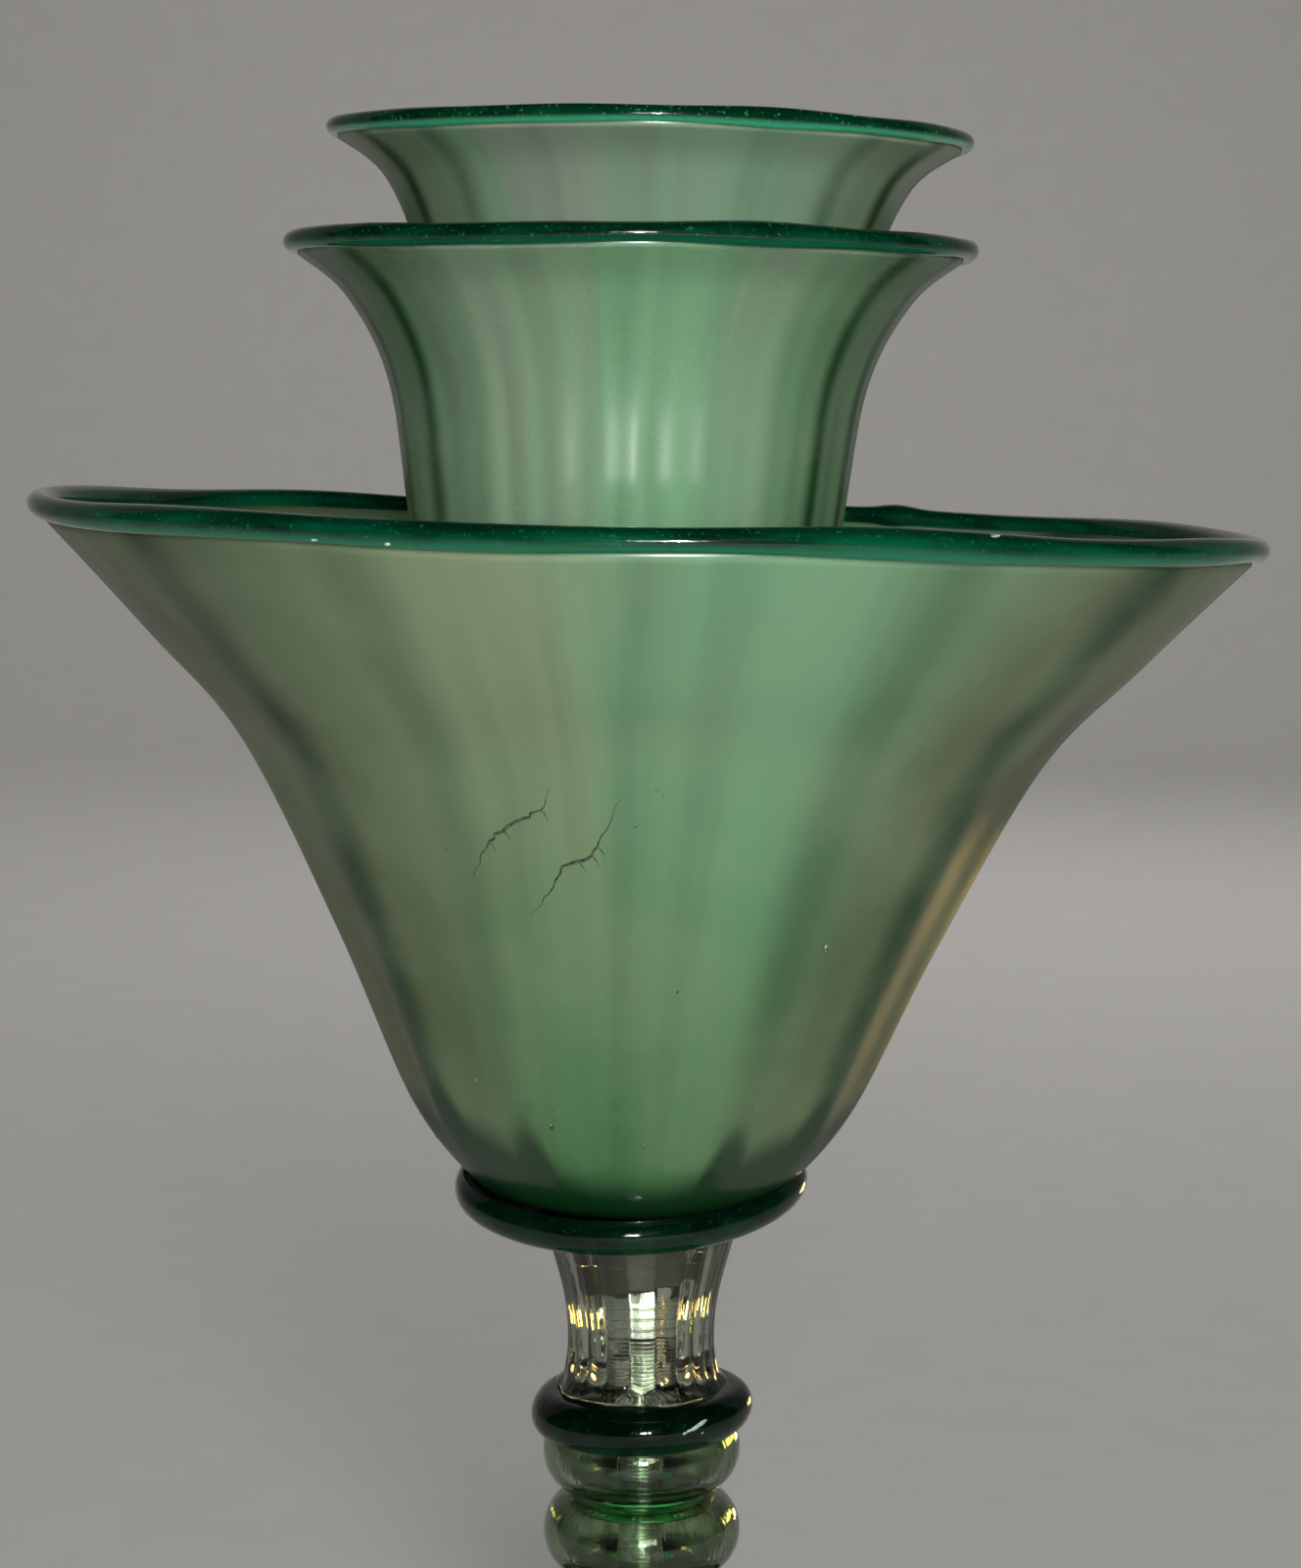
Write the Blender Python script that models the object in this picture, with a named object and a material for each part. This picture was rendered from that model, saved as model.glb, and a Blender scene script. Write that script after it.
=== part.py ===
"""A green glass table centrepiece: a funnel-shaped bowl on a knopped stem, with two trumpet vases stacked in it.

The glass pieces of the stem are threaded on a metal tie rod, which clamps them between the foot and the bowl.
Metres, +Z up. The origin is on the table, under the middle of the foot. Heights named Z are above the table.
"""

import math

import bpy

GAP = 0.0003  # between pieces that touch

# Tie rod and its fittings
ROD_RADIUS = 0.0050
ROD_Z = (0.0025, 0.1625)
BORE_RADIUS = 0.0068
WASHER_RADIUS = 0.0100
WASHER_THICKNESS = 0.0015
NUT_FLATS = 0.0140
NUT_HEIGHT = 0.0050
GASKET_THICKNESS = 0.0016
SEAL_THICKNESS = 0.0009
SEAL_RADIUS = 0.0145

# Foot
FOOT_TRAIL_MAJOR = 0.0725
FOOT_TRAIL_RADIUS = 0.0025
FOOT_TRAIL_GROUND = 0.00035
FOOT_NECK_Z = 0.0226
FOOT_SEAT_Z = 0.0130
FOOT_WALL = 0.0038
FOOT_PAD_RADIUS = 0.0130  # flat under the neck, where the washer bears
FOOT_LINE = ((0.0695, 0.0046), (0.0580, 0.0069), (0.0420, 0.0105), (0.0260, 0.0160), (0.0155, FOOT_NECK_Z))

# Stem
COLLAR_RADIUS = 0.0255
COLLAR_BULGE = 0.0055
FOOT_COLLAR_THICKNESS = 0.0091
KNOP_RADIUS = 0.0227
KNOP_BULGE = 0.0072
KNOP_HEIGHT = 0.0178
KNOP_WALL = 0.0030
KNOP_MOUTH_RADIUS = 0.0080
WAIST_COLLAR_Z = (0.0862, 0.0970)
WAIST_Z = WAIST_COLLAR_Z[1] + GAP
WAIST_LINE = (
    (0.0196, 0.0),
    (0.0174, 0.0036),
    (0.0165, 0.0110),
    (0.0174, 0.0208),
    (0.0203, 0.0319),
    (0.0228, 0.0400),
)
WAIST_BORE_RADIUS = 0.0085
BUSH_RADIUS = 0.0068
BUSH_Z = (0.1100, 0.1200)
PLUG_Z = 0.1205
PLUG_SLANT = math.radians(11.0)

# Bowl and the collar under it
BOWL_COLLAR_MAJOR = 0.0357
BOWL_COLLAR_MINOR = 0.0046
BOWL_COLLAR_Z = 0.1448
BOWL_COLLAR_SEAT_Z = 0.1415
BOWL_COLLAR_UNDERSIDE_Z = 0.1388
BOWL_COLLAR_SHIFT = -0.0025
BOWL_COLLAR_WEB_RADIUS = 0.0240  # the flat underside inside the rounded edge
BOWL_COLLAR_DISH_RADIUS = 0.0322  # the flat seat in the dished top
BOWL_COLLAR_LIP = (0.0375, 0.1447)  # radius and height where the dish meets the rounded edge
BOWL_Z = 0.1429
BOWL_SHIFT = -0.0029
BOWL_LEAN = math.radians(2.0)
BOWL_WALL = 0.0028
BOWL_FLOOR_THICKNESS = 0.0080
BOWL_BORE_RADIUS = 0.0098
BOWL_FLOOR_BEVEL = 0.0030
BOWL_GASKET_LIFT = 0.0008  # clears the floor, which leans with the bowl
BOWL_LINE = (
    (0.0310, 0.0),
    (0.0370, 0.0039),
    (0.0500, 0.0210),
    (0.0678, 0.0601),
    (0.0895, 0.1017),
    (0.1105, 0.1249),
    (0.1334, 0.1484),
)
BOWL_TRAIL_MAJOR = 0.1345
BOWL_TRAIL_RADIUS = 0.0028
BOWL_TRAIL_HEIGHT = 0.1517

# Trumpet vases: each has a thick solid base with a socket in its underside
SOCKET_RADIUS = 0.0162
SOCKET_DEPTH = 0.0175
SOCKET_TAPER = 0.0020
VASE_FLOOR_BEVEL = 0.0020
VASE_BASE_THICKNESS = 0.0215
VASE_WALL = 0.0024
MIDDLE_Z = 0.1517
MIDDLE_SHIFT = -0.0056
MIDDLE_LEAN = math.radians(0.9)
MIDDLE_LINE = (
    (0.0240, 0.0),
    (0.0280, 0.0120),
    (0.0335, 0.0400),
    (0.0420, 0.0920),
    (0.0490, 0.1490),
    (0.0536, 0.1754),
    (0.0629, 0.1927),
    (0.0735, 0.2014),
)
MIDDLE_TRAIL_MAJOR = 0.0746
MIDDLE_TRAIL_RADIUS = 0.0023
MIDDLE_TRAIL_HEIGHT = 0.2040
TOP_Z = 0.1737
TOP_SHIFT = -0.0034
TOP_LEAN = math.radians(1.5)
TOP_SOCKET_RADIUS = 0.0140
TOP_LINE = (
    (0.0220, 0.0),
    (0.0252, 0.0120),
    (0.0302, 0.0400),
    (0.0376, 0.0920),
    (0.0450, 0.1490),
    (0.0497, 0.1765),
    (0.0577, 0.1954),
    (0.0684, 0.2037),
)
TOP_TRAIL_MAJOR = 0.0693
TOP_TRAIL_RADIUS = 0.0019
TOP_TRAIL_HEIGHT = 0.2060

# Facets of the turned pieces
BOWL_SEGMENTS = 36
VASE_SEGMENTS = 30
STEM_SEGMENTS = 22
FITTING_SEGMENTS = 16
TRAIL_SIDES = 8
BULGE_STEPS = 6


def clear_scene():
    """Removes whatever the startup scene holds."""
    for old in list(bpy.data.objects):
        bpy.data.objects.remove(old, do_unlink=True)


# Materials


def finish(name, colour, roughness, metallic=0.0, transmission=0.0):
    """A Principled material named after the piece that wears it."""
    made = bpy.data.materials.new(name)
    made.use_nodes = True
    shader = made.node_tree.nodes["Principled BSDF"]
    shader.inputs["Base Color"].default_value = (*colour, 1.0)
    shader.inputs["Roughness"].default_value = roughness
    shader.inputs["Metallic"].default_value = metallic
    shader.inputs["Transmission Weight"].default_value = transmission
    made.diffuse_color = (*colour, 1.0)
    return made


def satin_green(name):
    """Green glass with a soft bloom, as on the bowl and the vases."""
    return finish(name, (0.13, 0.30, 0.15), 0.30, transmission=0.35)


def deep_green(name):
    """Dark emerald glass, as on the lips and the collars."""
    return finish(name, (0.01, 0.12, 0.06), 0.08, transmission=0.40)


def clear_glass(name):
    """Nearly clear glass with a green cast, as on the stem."""
    return finish(name, (0.72, 0.84, 0.72), 0.04, transmission=0.95)


def steel(name):
    """Bright steel, as on the rod and its nuts."""
    return finish(name, (0.62, 0.62, 0.60), 0.30, metallic=1.0)


def rubber(name):
    """Black rubber, as on the gaskets."""
    return finish(name, (0.03, 0.03, 0.028), 0.75)


def soft_plastic(name):
    """Green packing plastic, as on the thin rings between the glass pieces."""
    return finish(name, (0.05, 0.28, 0.10), 0.45)


# Outlines in the (radius, height) plane


def spline(a, b, c, d, t):
    """One coordinate of a Catmull-Rom span from b to c."""
    return 0.5 * (2 * b + (c - a) * t + (2 * a - 5 * b + 4 * c - d) * t**2 + (3 * b - a - 3 * c + d) * t**3)


def smooth_line(points, per_span=2):
    """A Catmull-Rom curve through the points, with per_span steps from each point to the next."""
    ends = [points[0], *points, points[-1]]
    line = []
    for i in range(len(points) - 1):
        span = ends[i : i + 4]
        for step in range(per_span):
            t = step / per_span
            line.append(tuple(spline(*axis, t) for axis in zip(*span)))
    line.append(tuple(points[-1]))
    return line


def arc(centre, across, up, start, stop, steps):
    """Points of an elliptical arc with radii across and up. Angles are in degrees, and 90 is straight up."""
    line = []
    for step in range(steps + 1):
        angle = math.radians(start + (stop - start) * step / steps)
        line.append((centre[0] + across * math.cos(angle), centre[1] + up * math.sin(angle)))
    return line


def inset(line, wall):
    """A line that runs up an outer side, moved inwards by the wall's thickness."""
    moved = []
    for i, (radius, height) in enumerate(line):
        before = line[max(i - 1, 0)]
        after = line[min(i + 1, len(line) - 1)]
        out, up = after[0] - before[0], after[1] - before[1]
        length = math.hypot(out, up)
        moved.append((radius - wall * up / length, height + wall * out / length))
    return moved


def above(line, height):
    """The points of a line that lie clearly above a height."""
    return [point for point in line if point[1] > height + 0.002]


# Turned pieces


def turned(name, outline, segments, material, place=(0.0, 0.0, 0.0), lean=0.0):
    """A solid turned about Z. Its outline runs down the outer side, and it closes on itself or at the axis."""
    points = [(radius, 0.0, height) for radius, height in outline]
    edges = [(i, i + 1) for i in range(len(points) - 1)]
    if outline[0][0] > 0.0:
        edges.append((len(points) - 1, 0))
    mesh = bpy.data.meshes.new(name)
    mesh.from_pydata(points, edges, [])
    mesh.materials.append(material)
    piece = bpy.data.objects.new(name, mesh)
    bpy.context.collection.objects.link(piece)
    turn = piece.modifiers.new("Turn", "SCREW")
    turn.axis = "Z"
    turn.angle = math.tau
    turn.steps = segments
    turn.render_steps = segments
    turn.use_merge_vertices = True
    turn.merge_threshold = 0.00001
    turn.use_smooth_shade = True
    piece.location = place
    piece.rotation_euler = (0.0, lean, 0.0)
    return piece


def flat_ring(name, inner, outer, z, thickness, material):
    """A flat ring on the rod's axis, lying on height z."""
    outline = [(outer, z + thickness), (outer, z), (inner, z), (inner, z + thickness)]
    return turned(name, outline, FITTING_SEGMENTS, material)


def lip_trail(name, major, minor, height, segments, place, lean):
    """The dark thread of glass wound round a lip."""
    last = 90 - 360 * (TRAIL_SIDES - 1) / TRAIL_SIDES
    outline = arc((major, height), minor, minor, 90, last, TRAIL_SIDES - 1)
    return turned(name, outline, segments, deep_green(name), place, lean)


def hidden_cutter(cutter, name):
    """Marks an object as a cutter, which isn't part of the centrepiece."""
    cutter.name = name
    cutter.hide_render = True
    cutter.display_type = "WIRE"
    return cutter


def cut(piece, cutter):
    """Takes the cutter's shape out of the piece."""
    boolean = piece.modifiers.new("Cut", "BOOLEAN")
    boolean.operation = "DIFFERENCE"
    boolean.solver = "EXACT"
    boolean.object = cutter


def hex_nut(name, z):
    """A hexagonal nut on the rod, with its lower face at height z."""
    middle = (0.0, 0.0, z + NUT_HEIGHT / 2)
    bpy.ops.mesh.primitive_cylinder_add(
        vertices=6, radius=NUT_FLATS / math.sqrt(3.0), depth=NUT_HEIGHT, location=middle
    )
    nut = bpy.context.object
    nut.name = name
    nut.data.materials.append(steel(name))
    bpy.ops.mesh.primitive_cylinder_add(
        vertices=FITTING_SEGMENTS, radius=ROD_RADIUS + GAP, depth=3 * NUT_HEIGHT, location=middle
    )
    cut(nut, hidden_cutter(bpy.context.object, name + "_bore"))
    return nut


# Foot


def make_foot():
    """Domed foot, open underneath, with a thick neck that carries the stem."""
    upper = smooth_line(FOOT_LINE)
    lower = [(radius, height - FOOT_WALL) for radius, height in upper]
    outline = upper[::-1]
    outline += [point for point in lower if point[1] < FOOT_SEAT_Z - 0.001]
    outline += [(FOOT_PAD_RADIUS, FOOT_SEAT_Z), (BORE_RADIUS, FOOT_SEAT_Z), (BORE_RADIUS, FOOT_NECK_Z)]
    turned("foot", outline, BOWL_SEGMENTS, clear_glass("foot"))


def make_foot_rim():
    """Dark thread round the foot's edge, ground flat where it stands on the table."""
    centre = (FOOT_TRAIL_MAJOR, FOOT_TRAIL_RADIUS - FOOT_TRAIL_GROUND)
    flat = math.degrees(math.acos(centre[1] / FOOT_TRAIL_RADIUS))
    outline = arc(centre, FOOT_TRAIL_RADIUS, FOOT_TRAIL_RADIUS, 90, flat - 90, 3)
    outline += arc(centre, FOOT_TRAIL_RADIUS, FOOT_TRAIL_RADIUS, -90 - flat, -225, 3)
    turned("foot_rim", outline, BOWL_SEGMENTS, deep_green("foot_rim"))


# Stem


def make_collar(name, bottom, top):
    """A round-edged disc of dark glass between two pieces of the stem."""
    half = (top - bottom) / 2
    outline = arc((COLLAR_RADIUS - COLLAR_BULGE, bottom + half), COLLAR_BULGE, half, 90, -90, BULGE_STEPS)
    outline += [(BORE_RADIUS, bottom), (BORE_RADIUS, top)]
    turned(name, outline, STEM_SEGMENTS, deep_green(name))


def make_waist_collar(knop_z):
    """The collar under the waist. Its underside is dished to sit on the upper knop, at middle height knop_z."""
    bottom, top = WAIST_COLLAR_Z
    half = (top - bottom) / 2
    knop_middle = (KNOP_RADIUS - KNOP_BULGE, knop_z)
    across, up = KNOP_BULGE + GAP, KNOP_HEIGHT / 2 + GAP
    meets = math.degrees(math.asin((bottom - knop_z) / up))
    ceiling = knop_z + KNOP_HEIGHT / 2 + SEAL_THICKNESS + 2 * GAP
    outline = arc((COLLAR_RADIUS - COLLAR_BULGE, bottom + half), COLLAR_BULGE, half, 90, -60, BULGE_STEPS)
    outline += arc(knop_middle, across, up, meets, 90, 4)
    outline += [(knop_middle[0], ceiling), (BORE_RADIUS, ceiling), (BORE_RADIUS, top)]
    turned("waist_collar", outline, STEM_SEGMENTS, deep_green("waist_collar"))


def make_knop(name, z):
    """A hollow bead of blown glass with a mouth at each end, its middle at height z."""
    centre = (KNOP_RADIUS - KNOP_BULGE, z)
    half = KNOP_HEIGHT / 2
    outline = arc(centre, KNOP_BULGE, half, 90, -90, BULGE_STEPS)
    outline += [(KNOP_MOUTH_RADIUS, z - half), (KNOP_MOUTH_RADIUS, z - half + KNOP_WALL)]
    outline += arc(centre, KNOP_BULGE - KNOP_WALL, half - KNOP_WALL, -90, 90, 4)
    outline += [(KNOP_MOUTH_RADIUS, z + half - KNOP_WALL), (KNOP_MOUTH_RADIUS, z + half)]
    turned(name, outline, STEM_SEGMENTS, clear_glass(name))


def make_waist():
    """Clear pinched column between the two collars, with a wide bore."""
    line = smooth_line(WAIST_LINE)
    top = line[-1][1]
    outline = line[::-1] + [(WAIST_BORE_RADIUS, 0.0), (WAIST_BORE_RADIUS, top)]
    turned("waist", outline, STEM_SEGMENTS, clear_glass("waist"), (0.0, 0.0, WAIST_Z))


def make_waist_plug(top):
    """Dark plug in the top of the waist's bore, cut on the slant below."""
    outer, inner = WAIST_BORE_RADIUS - GAP, ROD_RADIUS + GAP
    drop = 2 * outer * math.tan(PLUG_SLANT)
    plug = flat_ring("waist_plug", inner, outer, PLUG_Z, top - PLUG_Z, rubber("waist_plug"))
    side = 4 * outer
    bpy.ops.mesh.primitive_cube_add(size=1.0, location=(0.0, 0.0, 0.0))
    cutter = hidden_cutter(bpy.context.object, "waist_plug_slant")
    cutter.scale = (side, side, side)
    cutter.rotation_euler = (0.0, -PLUG_SLANT, 0.0)
    reach = side / 2 / math.cos(PLUG_SLANT)
    cutter.location = (0.0, 0.0, PLUG_Z + drop / 2 - reach)
    cut(plug, cutter)


# Bowl


def make_bowl_collar():
    """Dark disc under the bowl, dished to take the bowl's base."""
    centre = (BOWL_COLLAR_MAJOR, BOWL_COLLAR_Z)
    outline = arc(centre, BOWL_COLLAR_MINOR, BOWL_COLLAR_MINOR, 40, -90, BULGE_STEPS)
    outline += [(BOWL_COLLAR_WEB_RADIUS, BOWL_COLLAR_UNDERSIDE_Z), (BOWL_BORE_RADIUS, BOWL_COLLAR_UNDERSIDE_Z)]
    outline += [(BOWL_BORE_RADIUS, BOWL_COLLAR_SEAT_Z), (BOWL_COLLAR_DISH_RADIUS, BOWL_COLLAR_SEAT_Z)]
    outline.append(BOWL_COLLAR_LIP)
    turned("bowl_collar", outline, BOWL_SEGMENTS, deep_green("bowl_collar"), (BOWL_COLLAR_SHIFT, 0.0, 0.0))


def make_bowl():
    """Funnel-shaped bowl with a thick base, bored for the rod."""
    outer = smooth_line(BOWL_LINE)
    inner = above(inset(outer, BOWL_WALL), BOWL_FLOOR_THICKNESS)
    outline = outer[::-1] + [(BOWL_BORE_RADIUS, 0.0), (BOWL_BORE_RADIUS, BOWL_FLOOR_THICKNESS)]
    outline += [(inner[0][0] - BOWL_FLOOR_BEVEL, BOWL_FLOOR_THICKNESS), *inner]
    turned("bowl", outline, BOWL_SEGMENTS, satin_green("bowl"), (BOWL_SHIFT, 0.0, BOWL_Z), BOWL_LEAN)


# Vases


def make_vase(name, line, socket_radius, place, lean):
    """A trumpet vase with a solid base, and a socket in its underside that clears the nut below."""
    outer = smooth_line(line)
    inner = above(inset(outer, VASE_WALL), VASE_BASE_THICKNESS)
    outline = [(0.0, VASE_BASE_THICKNESS), (inner[0][0] - VASE_FLOOR_BEVEL, VASE_BASE_THICKNESS), *inner]
    outline += outer[::-1]
    outline += [(socket_radius, 0.0), (socket_radius - SOCKET_TAPER, SOCKET_DEPTH), (0.0, SOCKET_DEPTH)]
    turned(name, outline, VASE_SEGMENTS, satin_green(name), place, lean)


def make_stand():
    """Everything that the rod clamps together, from the table up."""
    make_foot()
    make_foot_rim()
    bpy.ops.mesh.primitive_cylinder_add(
        vertices=FITTING_SEGMENTS,
        radius=ROD_RADIUS,
        depth=ROD_Z[1] - ROD_Z[0],
        location=(0.0, 0.0, sum(ROD_Z) / 2),
    )
    rod = bpy.context.object
    rod.name = "tie_rod"
    rod.data.materials.append(steel("tie_rod"))
    hole = ROD_RADIUS + GAP
    z = FOOT_SEAT_Z - GAP - GASKET_THICKNESS
    flat_ring("base_gasket", hole, WASHER_RADIUS, z, GASKET_THICKNESS, rubber("base_gasket"))
    z -= GAP + WASHER_THICKNESS
    flat_ring("base_washer", hole, WASHER_RADIUS, z, WASHER_THICKNESS, steel("base_washer"))
    hex_nut("base_nut", z - GAP - NUT_HEIGHT)

    z = FOOT_NECK_Z + GAP
    flat_ring("seal_1", hole, SEAL_RADIUS, z, SEAL_THICKNESS, soft_plastic("seal_1"))
    z += SEAL_THICKNESS + GAP
    make_collar("foot_collar", z, z + FOOT_COLLAR_THICKNESS)
    z += FOOT_COLLAR_THICKNESS + GAP
    for number, name in enumerate(("knop_lower", "knop_middle", "knop_upper"), 2):
        flat_ring(f"seal_{number}", hole, SEAL_RADIUS, z, SEAL_THICKNESS, soft_plastic(f"seal_{number}"))
        z += SEAL_THICKNESS + GAP
        knop_z = z + KNOP_HEIGHT / 2
        make_knop(name, knop_z)
        z += KNOP_HEIGHT + GAP
    flat_ring("seal_5", hole, SEAL_RADIUS, z, SEAL_THICKNESS, soft_plastic("seal_5"))
    make_waist_collar(knop_z)
    make_waist()
    waist_top = WAIST_Z + WAIST_LINE[-1][1]
    flat_ring("waist_bush", hole, BUSH_RADIUS, BUSH_Z[0], BUSH_Z[1] - BUSH_Z[0], steel("waist_bush"))
    make_waist_plug(waist_top)
    seal_z = waist_top + GAP
    seal_top = BOWL_COLLAR_UNDERSIDE_Z - GAP
    flat_ring("seal_6", hole, SEAL_RADIUS, seal_z, seal_top - seal_z, soft_plastic("seal_6"))
    make_bowl_collar()
    make_bowl()
    lip_trail(
        "bowl_rim",
        BOWL_TRAIL_MAJOR,
        BOWL_TRAIL_RADIUS,
        BOWL_TRAIL_HEIGHT,
        BOWL_SEGMENTS,
        (BOWL_SHIFT, 0.0, BOWL_Z),
        BOWL_LEAN,
    )
    z = BOWL_Z + BOWL_FLOOR_THICKNESS + BOWL_GASKET_LIFT
    flat_ring("bowl_gasket", hole, WASHER_RADIUS, z, GASKET_THICKNESS, rubber("bowl_gasket"))
    z += GASKET_THICKNESS + GAP
    flat_ring("bowl_washer", hole, WASHER_RADIUS, z, WASHER_THICKNESS, steel("bowl_washer"))
    hex_nut("bowl_nut", z + WASHER_THICKNESS + GAP)


def make_vases():
    """The two vases that stack in the bowl. Each lifts straight out."""
    place = (MIDDLE_SHIFT, 0.0, MIDDLE_Z)
    make_vase("middle_vase", MIDDLE_LINE, SOCKET_RADIUS, place, MIDDLE_LEAN)
    lip_trail(
        "middle_rim",
        MIDDLE_TRAIL_MAJOR,
        MIDDLE_TRAIL_RADIUS,
        MIDDLE_TRAIL_HEIGHT,
        VASE_SEGMENTS,
        place,
        MIDDLE_LEAN,
    )
    place = (TOP_SHIFT, 0.0, TOP_Z)
    make_vase("top_vase", TOP_LINE, TOP_SOCKET_RADIUS, place, TOP_LEAN)
    lip_trail("top_rim", TOP_TRAIL_MAJOR, TOP_TRAIL_RADIUS, TOP_TRAIL_HEIGHT, VASE_SEGMENTS, place, TOP_LEAN)


clear_scene()
make_stand()
make_vases()
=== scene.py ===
"""Looks of a green glass table centrepiece: a ribbed bowl on a beaded stem, with two trumpet vases in it.

Metres, +Z up, and the viewer stands on the -Y side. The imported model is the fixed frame, and each piece made
here rides on one of its bodies.
"""

import logging
import math
import random
from collections.abc import Callable
from dataclasses import dataclass
from enum import Enum

import bmesh
import bpy
import numpy as np
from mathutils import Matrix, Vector


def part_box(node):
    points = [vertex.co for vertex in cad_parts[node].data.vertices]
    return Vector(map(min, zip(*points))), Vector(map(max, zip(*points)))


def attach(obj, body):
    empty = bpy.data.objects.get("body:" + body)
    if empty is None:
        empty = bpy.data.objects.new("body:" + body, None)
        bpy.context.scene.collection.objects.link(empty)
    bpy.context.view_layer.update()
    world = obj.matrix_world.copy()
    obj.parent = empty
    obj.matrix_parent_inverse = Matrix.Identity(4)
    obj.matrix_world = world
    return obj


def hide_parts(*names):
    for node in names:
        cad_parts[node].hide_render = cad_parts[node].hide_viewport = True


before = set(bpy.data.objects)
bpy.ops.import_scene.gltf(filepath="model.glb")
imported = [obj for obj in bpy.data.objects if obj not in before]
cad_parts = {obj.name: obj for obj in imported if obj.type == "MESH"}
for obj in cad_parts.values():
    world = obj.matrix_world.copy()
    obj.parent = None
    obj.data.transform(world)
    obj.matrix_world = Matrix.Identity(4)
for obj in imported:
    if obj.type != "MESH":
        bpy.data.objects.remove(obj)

LOG = logging.getLogger("centrepiece")
Socket = bpy.types.NodeSocket
Paint = bpy.types.Material
Piece = bpy.types.Object
Colour = tuple[float, float, float]
Profile = tuple[tuple[float, float], ...]
Line = list[tuple[float, float]]
Skin = list[tuple[float, float, float]]
Moved = tuple[np.ndarray, np.ndarray]  # radii and heights
FRONT = -math.pi / 2  # the angle round a piece that faces the viewer
ON_AXIS = 1e-6  # a row of a smaller radius closes to a point


class Body(Enum):
    """The bodies of the frame that pieces ride on."""

    STAND = "stand"
    MIDDLE = "middle_vase"
    TOP = "top_vase"


class Slot(Enum):
    """The material slots of the record."""

    SATIN = "satin_green_glass"
    DEEP = "deep_green_glass"
    CLEAR = "clear_glass"
    STEEL = "steel"
    RUBBER = "black_rubber"
    PACKING = "packing_ring"


# ---- Finishes ----


def tint(red: float, green: float, blue: float) -> Colour:
    """Turns a display colour of 0 to 255 into the linear colour that a shader takes.

    Args:
        red: Red as displayed.
        green: Green as displayed.
        blue: Blue as displayed.

    Returns:
        The same colour, linear, from 0 to 1.
    """
    shown = (red / 255.0, green / 255.0, blue / 255.0)
    return tuple(c / 12.92 if c <= 0.04045 else ((c + 0.055) / 1.055) ** 2.4 for c in shown)


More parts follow.
